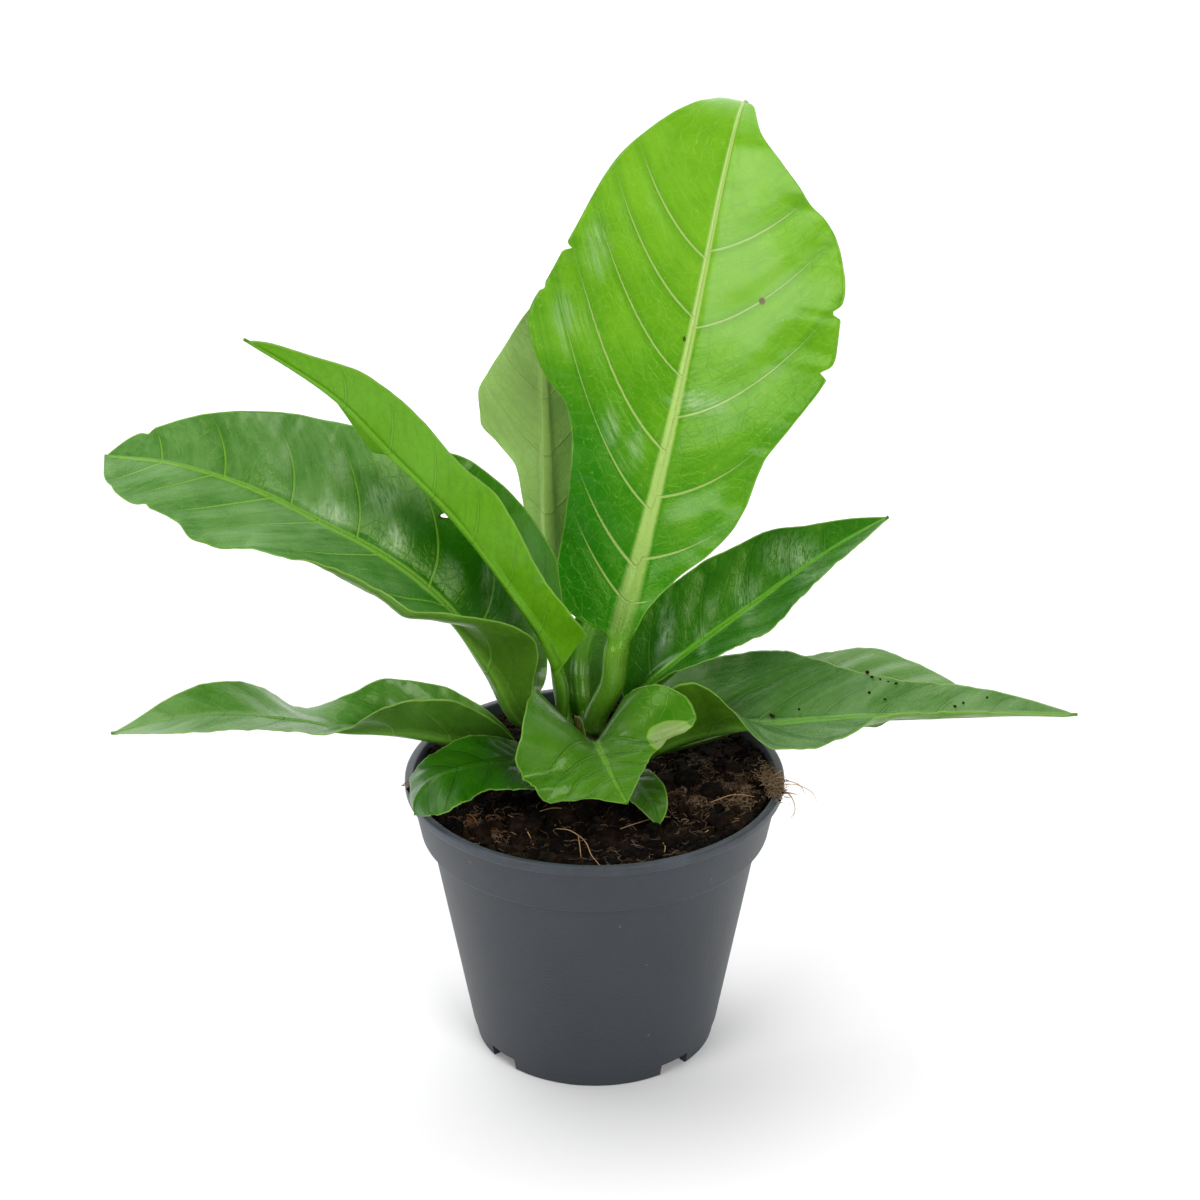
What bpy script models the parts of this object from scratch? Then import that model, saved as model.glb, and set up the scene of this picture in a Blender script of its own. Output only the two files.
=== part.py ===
"""A young bird's-nest anthurium in its nursery pot.

Every piece is one object: the pot, the potting soil, the short stem that the
leaf stalks grow from, a dried bract, and each leaf with its own stalk.
The pot stands on Z = 0 with its axis on Z, and -Y is the plant's front.
Lengths below are millimetres, and MM turns them into metres.
"""
import math

import bmesh
import bpy
import numpy as np

MM = 0.001

# Pot, a standard 12 cm nursery pot
RIM_RADIUS = 60.0
POT_HEIGHT = 92.7
LIP_DEPTH = 3.0
LIP_STEP = 1.8
BAND_BOTTOM_Z = 74.5
BAND_BOTTOM_RADIUS = 55.2
WALL_TOP_RADIUS = 52.4
BASE_RADIUS = 39.0
WALL = 1.3
FOOT_HEIGHT = 5.5
FOOT_STEP = 0.4
FOOT_WIDTH = 3.0
BASE_PAD_RADIUS = 20.0
CHANNEL_HEIGHT = 4.5
POT_SIDES = 48
NOTCH_COUNT = 4
NOTCH_FIRST_ANGLE = 41.0 - 90.0
NOTCH_WIDTH = 11.0
DRAIN_COUNT = 8
DRAIN_FIRST_ANGLE = 20.0
DRAIN_RADIUS = 3.0
DRAIN_SIDES = 10
DRAIN_RING_RADIUS = 29.0

# Soil
SOIL_GAP = 0.35
SOIL_LEVEL = 85.5
SOIL_RINGS = 6
SOIL_SIDES = 40
SOIL_HEAP = 4.5
SOIL_HEAP_ANGLE = 20.0

# Stem that all the leaf stalks grow from
CROWN = np.array((-1.0, 10.0, 91.0))
CROWN_RADIUS = 10.0
CROWN_NECK_RADIUS = 8.6
CROWN_BOTTOM_Z = 74.0
CROWN_HOLE_GAP = 0.35
STALK_GAP = 0.3

# Leaves
BLADE = 0.8

GREEN = (0.045, 0.19, 0.012, 1)
PALE_GREEN = (0.11, 0.25, 0.05, 1)

# Each leaf: where its stalk leaves the stem (azimuth and height angle in
# degrees), the way it points (heading, 0 is +X and 90 is +Y), the points of
# its midrib after the stem, the midrib's radius along the leaf, and for its
# left and right half the width, the angle by which the half lifts from the
# midrib, how much more it curls on the way to its edge, and its edge wave as
# (height, number of waves, phase). Places along the leaf run from 0 to 1.
LEAVES = {
    "leaf_upright": dict(
        start=(60, 80), heading=78, rows=26, columns=2,
        rib=[(5.5, 11.5, 118), (7, 13, 130), (14, 22, 156), (23, 32, 193), (31, 44, 228),
             (39, 57, 266), (43.5, 66, 283), (46.5, 77, 288), (49, 90, 283)],
        stalk=[(0, 3.8), (0.16, 4), (0.33, 2.6), (0.5, 1.8), (0.7, 1.1), (1, 0.5)],
        left=dict(width=[(0.13, 0), (0.15, 5), (0.17, 18), (0.2, 24), (0.3, 26), (0.4, 29),
                         (0.45, 33), (0.5, 44), (0.57, 51), (0.63, 47), (0.7, 42), (0.8, 34),
                         (0.88, 20), (0.94, 8), (1, 0)],
                  lift=[(0, 10)], wave=(1, 5, 0)),
        right=dict(width=[(0.13, 0), (0.16, 5), (0.2, 7), (0.25, 13), (0.3, 22), (0.35, 28),
                          (0.44, 32), (0.5, 39), (0.6, 47), (0.68, 46), (0.75, 40), (0.8, 29),
                          (0.84, 18), (0.88, 8), (0.94, 3), (1, 0)],
                   lift=[(0, 10)], wave=(1, 5, 90))),
    "leaf_behind": dict(
        start=(133, 40), heading=270, rows=14, columns=2,
        rib=[(-13, 31, 125), (-14.5, 44, 154), (-15.5, 54, 188), (-16, 56, 206), (-17, 56, 222),
             (-18, 52, 232)],
        stalk=[(0, 2.3), (0.3, 2.2), (1, 0.5)],
        left=dict(width=[(0.25, 0), (0.28, 3), (0.4, 9), (0.6, 15), (0.75, 19), (0.88, 12), (1, 0)],
                  lift=[(0, 15)]),
        right=dict(width=[(0.25, 0), (0.28, 3), (0.4, 5), (0.5, 8), (0.6, 10), (0.65, 16), (0.7, 22),
                          (0.76, 22), (0.82, 18), (0.88, 12), (0.94, 6), (1, 0)],
                   lift=[(0, 15)], wave=(1, 4, 0))),
    "leaf_left_upper": dict(
        start=(208, 38), heading=195, rows=20, columns=3,
        rib=[(-10, 6, 118), (-15, 6, 135), (-24, 3, 152), (-33, -1, 168), (-43, -4, 183),
             (-60, -9, 205), (-76, -13, 225), (-94, -17, 240), (-101, -19, 245)],
        stalk=[(0, 2.3), (0.1, 2.1), (0.2, 1.7), (0.5, 1.3), (1, 0.5)],
        left=dict(width=[(0.16, 0), (0.175, 3), (0.2, 9), (0.215, 13), (0.27, 14), (0.36, 14), (0.5, 15),
                         (0.6, 13), (0.7, 14), (0.8, 12), (0.9, 6), (0.96, 3), (1, 0)],
                  lift=[(0, 80), (0.18, 80), (0.26, 55), (0.36, 50), (0.45, 62), (0.52, 80)]),
        right=dict(width=[(0.16, 0), (0.18, 3), (0.22, 6), (0.27, 12), (0.35, 18), (0.45, 19), (0.55, 17),
                          (0.62, 14), (0.7, 9), (0.8, 6), (0.9, 3), (1, 0)],
                   lift=[(0, 60), (0.3, 75), (0.55, 65), (0.65, 0), (0.7, -30), (0.85, -10), (1, 0)])),
    "leaf_left_large": dict(
        start=(168, 38), heading=176, rows=22, columns=4,
        rib=[(-24, 12, 105), (-33, 15, 121), (-47, 16, 143), (-64, 18, 158), (-87, 20, 171),
             (-107, 22, 181), (-130, 24, 188), (-152, 26, 190)],
        stalk=[(0, 2.3), (0.12, 2.6), (0.3, 2.2), (0.6, 1.4), (1, 0.6)],
        left=dict(width=[(0.06, 0), (0.08, 5), (0.12, 9), (0.16, 13), (0.2, 20), (0.3, 28), (0.4, 31),
                         (0.5, 31), (0.6, 28), (0.7, 26), (0.75, 29), (0.8, 29), (0.84, 24),
                         (0.88, 22), (0.92, 21), (0.97, 15), (0.99, 9), (1, 0)],
                  lift=[(0, 75), (0.12, 75), (0.2, 70), (0.3, 35), (0.36, 8), (0.42, -10),
                        (0.6, -10), (0.75, -20), (1, -15)],
                  curl=[(0, 0), (0.2, 0), (0.3, 55), (0.42, 90), (0.55, 75), (0.65, 20), (0.75, 0)],
                  turn=4),
        right=dict(width=[(0.06, 0), (0.08, 5), (0.13, 14), (0.2, 21), (0.3, 26), (0.4, 29), (0.5, 32),
                          (0.6, 33), (0.7, 29), (0.8, 22), (0.85, 18), (0.9, 13), (0.96, 7), (1, 0)],
                   lift=[(0, 60), (1, 50)], wave=(1, 4, 0))),
    "leaf_left_low": dict(
        start=(187, 5), heading=187, rows=22, columns=3,
        rib=[(-30, 6, 98), (-45, 2, 103), (-61, -2, 108), (-79, -5, 111), (-93, -7, 115),
             (-118, -11, 119), (-135, -14, 118), (-149, -16, 115)],
        stalk=[(0, 2.3), (0.12, 2.3), (0.6, 1.2), (1, 0.5)],
        left=dict(width=[(0.08, 0), (0.1, 3), (0.2, 13), (0.3, 18), (0.38, 15), (0.48, 12),
                         (0.55, 10), (0.65, 11), (0.72, 12), (0.8, 14), (0.88, 11), (0.95, 5), (1, 0)],
                  lift=[(0, 70), (0.36, 70), (0.42, 60), (0.46, 45), (0.5, 28), (0.56, 8), (1, 5)]),
        right=dict(width=[(0.08, 0), (0.1, 3), (0.2, 13), (0.3, 17), (0.4, 17), (0.5, 13), (0.6, 16),
                          (0.7, 15), (0.8, 12), (0.88, 8), (0.95, 3), (1, 0)],
                   lift=[(0, 50), (0.4, 50), (0.48, 30), (0.58, -12), (0.7, 15), (0.8, 25), (1, 10)])),
    "leaf_front_left": dict(
        start=(228, 5), heading=200, rows=14, columns=2,
        rib=[(-20, -3, 97), (-30, -11, 102), (-40, -19, 105), (-48, -24, 105), (-53.5, -27, 101),
             (-55.5, -28.5, 97), (-55, -30, 94)],
        stalk=[(0, 2.3), (0.12, 2.3), (0.6, 1.2), (1, 0.5)],
        left=dict(width=[(0.08, 0), (0.1, 3), (0.25, 14), (0.35, 17), (0.5, 14), (0.62, 12),
                         (0.75, 15), (0.84, 15), (0.92, 12), (0.97, 9), (1, 0)],
                  lift=[(0, 30), (0.3, 5), (0.7, -15), (1, -15)],
                  sweep=[(0.85, 0), (0.93, 0.05), (0.98, 0.35), (1, 0.4)]),
        right=dict(width=[(0.08, 0), (0.1, 3), (0.25, 8), (0.4, 11), (0.5, 12), (0.62, 12),
                          (0.75, 12), (0.86, 12), (0.93, 7), (1, 0)],
                   lift=[(0, 30), (0.5, 20), (0.7, 0), (1, -10)])),
    "leaf_front": dict(
        start=(275, 30), heading=280, rows=20, columns=4,
        rib=[(0, -5, 105), (0.5, -9, 107), (3, -16, 106), (6, -24, 103), (10, -31, 98.5)],
        stalk=[(0, 2.3), (0.25, 2.1), (0.6, 1.1), (1, 0.5)],
        left=dict(width=[(0.22, 0), (0.24, 3), (0.28, 14), (0.34, 24), (0.45, 32), (0.53, 30),
                         (0.6, 21), (0.68, 14), (0.78, 10), (0.9, 5), (1, 0)],
                  lift=[(0, 55), (0.28, 53), (0.42, 32), (0.5, 18), (0.6, 20), (0.75, 5), (1, 0)],
                  sweep=[(0.3, 0), (0.42, 0.1), (0.55, 0.15), (0.7, 0)]),
        right=dict(width=[(0.22, 0), (0.24, 3), (0.28, 18), (0.34, 25), (0.45, 29), (0.54, 30),
                          (0.6, 27), (0.7, 25.5), (0.77, 22.5), (0.83, 14), (0.91, 6), (1, 0)],
                   lift=[(0, 45), (0.28, 46), (0.42, 38), (0.55, 12), (0.7, 0), (1, 0)],
                   wave=(2.2, 4.3, 225))),
    "leaf_front_small": dict(
        start=(312, 0), heading=310, rows=9, columns=2,
        rib=[(10, -5, 93), (14, -13, 94), (18, -21, 92), (20, -27, 88.5)],
        stalk=[(0, 1.8), (0.15, 1.7), (1, 0.5)],
        left=dict(width=[(0.14, 0), (0.18, 3), (0.4, 7), (0.6, 7), (0.8, 5), (0.92, 2.5), (1, 0)],
                  lift=[(0, 20)]),
        right=dict(width=[(0.14, 0), (0.18, 3), (0.5, 8), (0.7, 9), (0.85, 6), (0.94, 3), (1, 0)],
                   lift=[(0, 20)])),
    "leaf_right_upper": dict(
        start=(40, 35), heading=17, rows=18, columns=2,
        rib=[(17, 20, 112), (27, 22, 121), (50, 28, 137.5), (73, 34, 153), (84, 37, 159),
             (93.5, 39, 163.8)],
        stalk=[(0, 2.3), (0.12, 2.3), (0.6, 1.2), (1, 0.5)],
        left=dict(width=[(0.08, 0), (0.1, 3), (0.2, 14), (0.25, 18), (0.35, 21), (0.5, 21),
                         (0.6, 19), (0.7, 17), (0.8, 11), (0.9, 6), (0.96, 2.5), (1, 0)],
                  lift=[(0, 60), (1, 40)]),
        right=dict(width=[(0.08, 0), (0.1, 3), (0.2, 10), (0.3, 15), (0.42, 18), (0.55, 18),
                          (0.68, 16), (0.8, 12), (0.9, 7), (0.96, 3), (1, 0)],
                   lift=[(0, 40), (0.25, 28), (0.35, 15), (0.45, 8), (0.55, 0), (0.65, 6),
                         (0.8, 10), (1, 5)])),
    "leaf_right_large": dict(
        start=(350, 12), heading=355, rows=20, columns=3,
        rib=[(30, 8, 101), (46, 4, 107), (59, 0, 110), (72, -3, 113), (84, -5, 115),
             (113, -9, 118), (131.5, -11, 119.5), (149, -13, 120)],
        stalk=[(0, 2.3), (0.12, 2.3), (0.6, 1.2), (1, 0.5)],
        left=dict(width=[(0.05, 0), (0.07, 6), (0.11, 20), (0.15, 26), (0.22, 28), (0.35, 27), (0.45, 23),
                         (0.55, 16), (0.63, 13), (0.7, 12.5), (0.8, 9), (0.9, 5), (1, 0)],
                  lift=[(0, 30)], wave=(1, 4, 0)),
        right=dict(width=[(0.06, 0), (0.08, 4), (0.13, 17), (0.2, 22), (0.3, 20), (0.38, 19),
                          (0.48, 18), (0.56, 16), (0.63, 12), (0.75, 10), (0.88, 5), (1, 0)],
                   lift=[(0, 75), (0.22, 75), (0.3, 45), (0.38, 5), (0.46, 0), (0.55, 5), (1, 10)],
                   curl=[(0, 0), (0.44, 0), (0.52, 10), (0.62, 50), (0.75, 50), (1, 20)])),
    "leaf_right_under": dict(
        start=(20, 0), heading=0, rows=15, columns=2,
        rib=[(34, 14, 98), (53, 15, 104), (75, 16, 109), (94, 17, 111), (110, 16, 110),
             (124, 14, 108)],
        stalk=[(0, 2.3), (0.15, 2.2), (1, 0.5)],
        left=dict(width=[(0.1, 0), (0.12, 3), (0.35, 20), (0.5, 27), (0.7, 27), (0.8, 20),
                         (0.9, 12), (1, 0)],
                  lift=[(0, 10)]),
        right=dict(width=[(0.1, 0), (0.12, 3), (0.35, 4), (0.5, 7), (0.6, 15), (0.68, 20),
                          (0.78, 12), (0.93, 5), (1, 0)],
                   lift=[(0, 0)])),
    "leaf_back": dict(
        start=(95, 42), heading=62, rows=16, columns=2,
        rib=[(-3.5, 23, 107), (-4, 30, 117), (0, 40, 128), (7, 52, 143), (15, 62, 160),
             (23, 70, 178), (31, 77, 196), (36, 84, 210), (39, 95, 220)],
        stalk=[(0, 2.3), (0.12, 2.8), (0.5, 1.8), (1, 0.5)],
        left=dict(width=[(0.03, 0), (0.06, 8), (0.16, 8.5), (0.24, 6), (0.32, 7), (0.6, 22),
                         (0.8, 20), (0.93, 8), (1, 0)],
                  lift=[(0, 15)]),
        right=dict(width=[(0.03, 0), (0.06, 7), (0.16, 9.5), (0.25, 10.5), (0.35, 10), (0.6, 22), (0.8, 20),
                          (0.93, 8), (1, 0)],
                   lift=[(0, 15)])),
    "dried_bract": dict(
        start=(247, 50), heading=250, rows=7, columns=1,
        rib=[(-4.6, 2.6, 103), (-5.2, 1.6, 108), (-5.6, 1.2, 112)],
        stalk=[(0, 1.2), (0.5, 0.9), (1, 0.5)],
        left=dict(width=[(0.1, 0), (0.3, 2), (0.8, 1.8), (1, 0.9)], lift=[(0, 30)]),
        right=dict(width=[(0.1, 0), (0.3, 2), (0.8, 1.8), (1, 0.9)], lift=[(0, 30)])),
}


def clear_scene():
    """Remove the objects that the file opened with."""
    for item in list(bpy.data.objects):
        bpy.data.objects.remove(item, do_unlink=True)


def collection(name):
    """A new collection in the scene."""
    group = bpy.data.collections.new(name)
    bpy.context.scene.collection.children.link(group)
    return group


def material(name, colour, roughness):
    """A plain Principled material."""
    made = bpy.data.materials.new(name)
    made.use_nodes = True
    shader = made.node_tree.nodes["Principled BSDF"]
    shader.inputs["Base Color"].default_value = colour
    shader.inputs["Roughness"].default_value = roughness
    shader.inputs["Metallic"].default_value = 0.0
    made.diffuse_color = colour
    return made


def mesh_object(name, points, faces, group, finish):
    """An object from points in millimetres."""
    mesh = bpy.data.meshes.new(name)
    mesh.from_pydata([tuple(float(v) * MM for v in p) for p in points], [], faces)
    made = bpy.data.objects.new(name, mesh)
    group.objects.link(made)
    mesh.materials.append(finish)
    mesh.shade_smooth()
    mesh.set_sharp_from_angle(angle=math.radians(40))
    return made


def smooth(points, at):
    """The value at `at` on a smooth curve through (place, value) points that never overshoots."""
    place, value = np.array(points, float).T
    at = np.asarray(at, float)
    if len(place) == 1:
        return np.full(at.shape, value[0])
    step = np.diff(place)
    rise = np.diff(value) / step
    slope = np.zeros(len(place))
    slope[0], slope[-1] = rise[0], rise[-1]
    for i in range(1, len(place) - 1):
        if rise[i - 1] * rise[i] > 0:
            near, far = 2 * step[i] + step[i - 1], step[i] + 2 * step[i - 1]
            slope[i] = (near + far) / (near / rise[i - 1] + far / rise[i])
    k = np.clip(np.searchsorted(place, at, side="right") - 1, 0, len(step) - 1)
    s = np.clip((at - place[k]) / step[k], 0, 1)
    return (value[k] * (1 + 2 * s) * (1 - s) ** 2 + slope[k] * step[k] * s * (1 - s) ** 2
            + value[k + 1] * s * s * (3 - 2 * s) + slope[k + 1] * step[k] * s * s * (s - 1))


def spline(points):
    """A smooth curve through 3-D points: its samples and their places from 0 to 1."""
    p = np.array(points, float)
    p = np.vstack([2 * p[0] - p[1], p, 2 * p[-1] - p[-2]])
    k = np.concatenate([[0], np.cumsum(np.linalg.norm(np.diff(p, axis=0), axis=1) ** 0.5)])
    spans = []
    for i in range(1, len(p) - 2):
        u = np.linspace(k[i], k[i + 1], 24, endpoint=i == len(p) - 3)[:, None]

        def blend(a, b, low, high):
            """The straight mix of a and b as u runs from low to high."""
            return (k[high] - u) / (k[high] - k[low]) * a + (u - k[low]) / (k[high] - k[low]) * b

        a1 = blend(p[i - 1], p[i], i - 1, i)
        a2 = blend(p[i], p[i + 1], i, i + 1)
        a3 = blend(p[i + 1], p[i + 2], i + 1, i + 2)
        b1 = blend(a1, a2, i - 1, i + 1)
        b2 = blend(a2, a3, i, i + 2)
        spans.append(blend(b1, b2, i, i + 1))
    curve = np.vstack(spans)
    place = np.concatenate([[0], np.cumsum(np.linalg.norm(np.diff(curve, axis=0), axis=1))])
    return curve, place / place[-1]


def frames(leaf, t):
    """Midrib points, with the directions along, to the left and up at each place t."""
    az, el = (math.radians(v) for v in leaf["start"])
    out = np.array((math.cos(el) * math.cos(az), math.cos(el) * math.sin(az), math.sin(el)))
    first = [CROWN + out * (CROWN_RADIUS + STALK_GAP + step) for step in (0, 5)]
    curve, place = spline(first + leaf["rib"])

    def at(q):
        """The midrib point at place q."""
        return np.stack([np.interp(q, place, curve[:, i]) for i in range(3)], -1)

    along = at(np.clip(t + 0.012, 0, 1)) - at(np.clip(t - 0.012, 0, 1))
    along /= np.linalg.norm(along, axis=-1, keepdims=True)
    h = math.radians(leaf["heading"])
    level = np.array([-math.sin(h), math.cos(h), 0.0])
    left = level - (along @ level)[..., None] * along
    left /= np.linalg.norm(left, axis=-1, keepdims=True)
    return at(t), along, left, np.cross(along, left)


def blade_point(leaf, t, f, side):
    """The upper surface and its normal at fraction f from midrib to edge, left (1) or right (-1)."""
    middle, along, left, up = frames(leaf, t)
    half = leaf["left" if side > 0 else "right"]
    width = smooth(half["width"], t)
    lift = np.radians(smooth(half["lift"], t))
    curl = np.radians(smooth(half.get("curl", [(0, 0)]), t))
    turn = half.get("turn", 1)
    reach = f * width
    part = (np.arange(16) + 0.5) / 16
    angles = lift[..., None] + curl[..., None] * (f[..., None] * part) ** turn
    x = reach * np.cos(angles).mean(-1)
    y = reach * np.sin(angles).mean(-1)
    angle = lift + curl * f ** turn
    height, count, phase = half.get("wave", (0, 1, 0))
    start = half["width"][0][0]
    run = np.clip((t - start) / (1 - start), 0, 1)
    wave = height * f ** 2 * np.sin(2 * math.pi * count * run + math.radians(phase))
    wave = wave * np.sin(math.pi * run) ** 0.5 * np.clip(width / 12, 0, 1)
    x = x - wave * np.sin(angle)
    y = y + wave * np.cos(angle)
    sweep = smooth(half.get("sweep", [(0, 0)]), t) * reach
    point = middle + side * left * x[..., None] + up * y[..., None] + along * sweep[..., None]
    normal = up * np.cos(angle)[..., None] - side * left * np.sin(angle)[..., None]
    return point, normal


def leaf_places(leaf):
    """Rows along the leaf: few on the stalk, then even over the blade."""
    start = min(leaf[key]["width"][0][0] for key in ("left", "right"))
    stalk = np.linspace(0, start, max(2, int(round(leaf["rows"] * start))) + 1)[:-1]
    blade = np.linspace(start, 1, leaf["rows"] - len(stalk))
    return np.concatenate([stalk, blade])


def leaf_section(leaf, t, radius):
    """One closed ring: over the top from the left edge to the right, then back underneath."""
    middle, _, left, up = (v[0] for v in frames(leaf, np.array([t])))
    columns = leaf["columns"] + 2
    around = 4 * columns + 2
    turns = (np.arange(around) + 0.5) / around * 2 * math.pi
    ring = middle + radius * (np.cos(turns)[:, None] * left + np.sin(turns)[:, None] * up)
    tops, unders = {}, {}
    for side, key in ((1, "left"), (-1, "right")):
        width = float(smooth(leaf[key]["width"], t))
        near, far = min(0.75 * radius, 0.3 * width), min(1.3 * radius, 0.55 * width)
        reach = [near] + list(np.linspace(far, width, columns - 1))
        grow = min(1.0, width / (2.2 * radius)) if width > 0 else 0.0
        grow = grow * grow * (3 - 2 * grow)
        for k, a in enumerate(reach):
            f = np.array([a / width if width > 0 else 0.0])
            point, normal = (v[0] for v in blade_point(leaf, np.array([t]), f, side))
            depth = BLADE + (0.55 * radius if k == 0 else 0)
            tops[side * (k + 1)] = (point, grow)
            unders[side * (k + 1)] = (point - normal * depth, grow)
    both = (tops[1][1] + tops[-1][1]) / 2
    tops[0] = (middle + up * 0.45 * radius, both)
    unders[0] = (middle - up * max(0.95 * radius, BLADE), both)
    order = [tops[k] for k in range(columns, -columns - 1, -1)]
    order += [unders[k] for k in range(-columns, columns + 1)]
    return [(1 - g) * ring[i] + g * p for i, (p, g) in enumerate(order)]


def make_leaf(name, leaf, group, finish):
    """A leaf with its stalk, as one closed loft of triangles."""
    rows = leaf_places(leaf)
    radii = smooth(leaf["stalk"], rows)
    rings = [leaf_section(leaf, t, r) for t, r in zip(rows, radii)]
    n = len(rings[0])
    half = n // 2
    points = [p for ring in rings for p in ring]
    faces = []
    for i in range(len(rings) - 1):
        for j in range(n):
            a, b = i * n + j, i * n + (j + 1) % n
            c, d = b + n, a + n
            if j < half:
                faces += [(a, b, c), (a, c, d)]
            else:
                faces += [(a, b, d), (b, c, d)]
    last = (len(rings) - 1) * n
    for j in range(half - 1):
        low, high = j, n - 1 - j
        faces += [(low, high, low + 1), (low + 1, high, high - 1)]
        faces += [(last + low, last + low + 1, last + high), (last + low + 1, last + high - 1, last + high)]
    made = mesh_object(name, points, faces, group, finish)
    work = bmesh.new()
    work.from_mesh(made.data)
    bmesh.ops.recalc_face_normals(work, faces=work.faces)
    work.to_mesh(made.data)
    work.free()
    return made


def turned(name, profile, sides, group, finish, centre=(0, 0)):
    """A turned solid: a profile of (radius, height) points from the top down its outer side."""
    made = mesh_object(name, [(r, 0, z) for r, z in profile], [], group, finish)
    edges = bmesh.new()
    edges.from_mesh(made.data)
    edges.verts.ensure_lookup_table()
    for i, (radius, _) in enumerate(profile):
        if radius > 0 or profile[i - 1][0] > 0:
            edges.edges.new((edges.verts[i - 1], edges.verts[i]))
    edges.to_mesh(made.data)
    edges.free()
    made.location = (centre[0] * MM, centre[1] * MM, 0)
    screw = made.modifiers.new("Turn", "SCREW")
    screw.axis = "Z"
    screw.angle = 2 * math.pi
    screw.steps = sides
    screw.render_steps = sides
    screw.use_merge_vertices = True
    screw.merge_threshold = 0.00001
    screw.use_smooth_shade = True
    return made


def cutter(name, group, finish):
    """Make the last primitive a hidden cutter in its own collection."""
    made = bpy.context.object
    made.name = name
    for other in list(made.users_collection):
        other.objects.unlink(made)
    group.objects.link(made)
    made.hide_render = True
    made.display_type = "WIRE"
    made.data.materials.append(finish)
    return made


def cut(target, tool):
    """Cut the tool's shape out of the target."""
    boolean = target.modifiers.new("Cut " + tool.name, "BOOLEAN")
    boolean.operation = "DIFFERENCE"
    boolean.solver = "EXACT"
    boolean.object = tool


def wall_radius(z):
    """The outer radius of the pot's wall below the band."""
    return BASE_RADIUS + (WALL_TOP_RADIUS - BASE_RADIUS) * z / BAND_BOTTOM_Z


def inside_profile(gap):
    """The pot's inside from the base's middle out and up to the rim, a gap away from the wall."""
    floor = CHANNEL_HEIGHT + WALL + gap
    pad = WALL + gap
    side = WALL + gap
    band_out = BAND_BOTTOM_RADIUS - side
    slope = (RIM_RADIUS - LIP_STEP - BAND_BOTTOM_RADIUS) / (POT_HEIGHT - LIP_DEPTH - BAND_BOTTOM_Z)
    ledge = BAND_BOTTOM_Z + WALL + gap
    rim = band_out + slope * (POT_HEIGHT - BAND_BOTTOM_Z)
    return [(0, pad), (BASE_PAD_RADIUS - side - 0.5, pad), (BASE_PAD_RADIUS - side, floor),
            (wall_radius(floor) - side, floor), (wall_radius(ledge) - side, ledge),
            (band_out + slope * (ledge - BAND_BOTTOM_Z), ledge), (rim, POT_HEIGHT)]


def make_pot(group, cutters, finish):
    """The pot: a rolled lip, a plain band, a tapering wall and a base with a drained channel."""
    channel = BASE_RADIUS - FOOT_WIDTH
    outside = [(RIM_RADIUS, POT_HEIGHT), (RIM_RADIUS, POT_HEIGHT - LIP_DEPTH),
               (RIM_RADIUS - LIP_STEP, POT_HEIGHT - LIP_DEPTH),
               (BAND_BOTTOM_RADIUS, BAND_BOTTOM_Z), (WALL_TOP_RADIUS, BAND_BOTTOM_Z),
               (wall_radius(FOOT_HEIGHT), FOOT_HEIGHT),
               (wall_radius(FOOT_HEIGHT) - FOOT_STEP, FOOT_HEIGHT),
               (BASE_RADIUS - FOOT_STEP, 0), (channel, 0), (channel - 0.5, CHANNEL_HEIGHT),
               (BASE_PAD_RADIUS + 0.5, CHANNEL_HEIGHT), (BASE_PAD_RADIUS, 0), (0, 0)]
    inside = inside_profile(0)
    pot = turned("pot", outside + inside, POT_SIDES, group, finish)
    for i in range(NOTCH_COUNT):
        angle = math.radians(NOTCH_FIRST_ANGLE + 360 / NOTCH_COUNT * i)
        middle = BASE_RADIUS * MM
        size = (10 * MM, NOTCH_WIDTH * MM, 2 * (CHANNEL_HEIGHT - 0.3) * MM)
        bpy.ops.mesh.primitive_cube_add(size=1, rotation=(0, 0, angle),
                                        location=(middle * math.cos(angle), middle * math.sin(angle), 0))
        tool = cutter(f"notch_{i}", cutters, finish)
        tool.scale = size
        cut(pot, tool)
    for i in range(DRAIN_COUNT):
        angle = math.radians(DRAIN_FIRST_ANGLE + 360 / DRAIN_COUNT * i)
        place = (DRAIN_RING_RADIUS * MM * math.cos(angle), DRAIN_RING_RADIUS * MM * math.sin(angle),
                 CHANNEL_HEIGHT * MM)
        bpy.ops.mesh.primitive_cylinder_add(vertices=DRAIN_SIDES, radius=DRAIN_RADIUS * MM, depth=6 * MM,
                                            location=place)
        cut(pot, cutter(f"drain_{i}", cutters, finish))
    return pot


def soil_height(x, y):
    """The height of the soil's surface: low by the stem, heaped to one side, and lumpy."""
    r = math.hypot(x, y) / RIM_RADIUS
    toward = math.cos(math.atan2(y, x) - math.radians(SOIL_HEAP_ANGLE))
    heap = SOIL_HEAP * r * r * (0.8 + 0.2 * toward)
    lumps = math.sin(0.29 * x + 1) * math.cos(0.25 * y) + 0.6 * math.sin(0.5 * x - 0.41 * y)
    return SOIL_LEVEL + heap + 0.55 * lumps * min(1.0, 4 * (1 - r))


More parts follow.
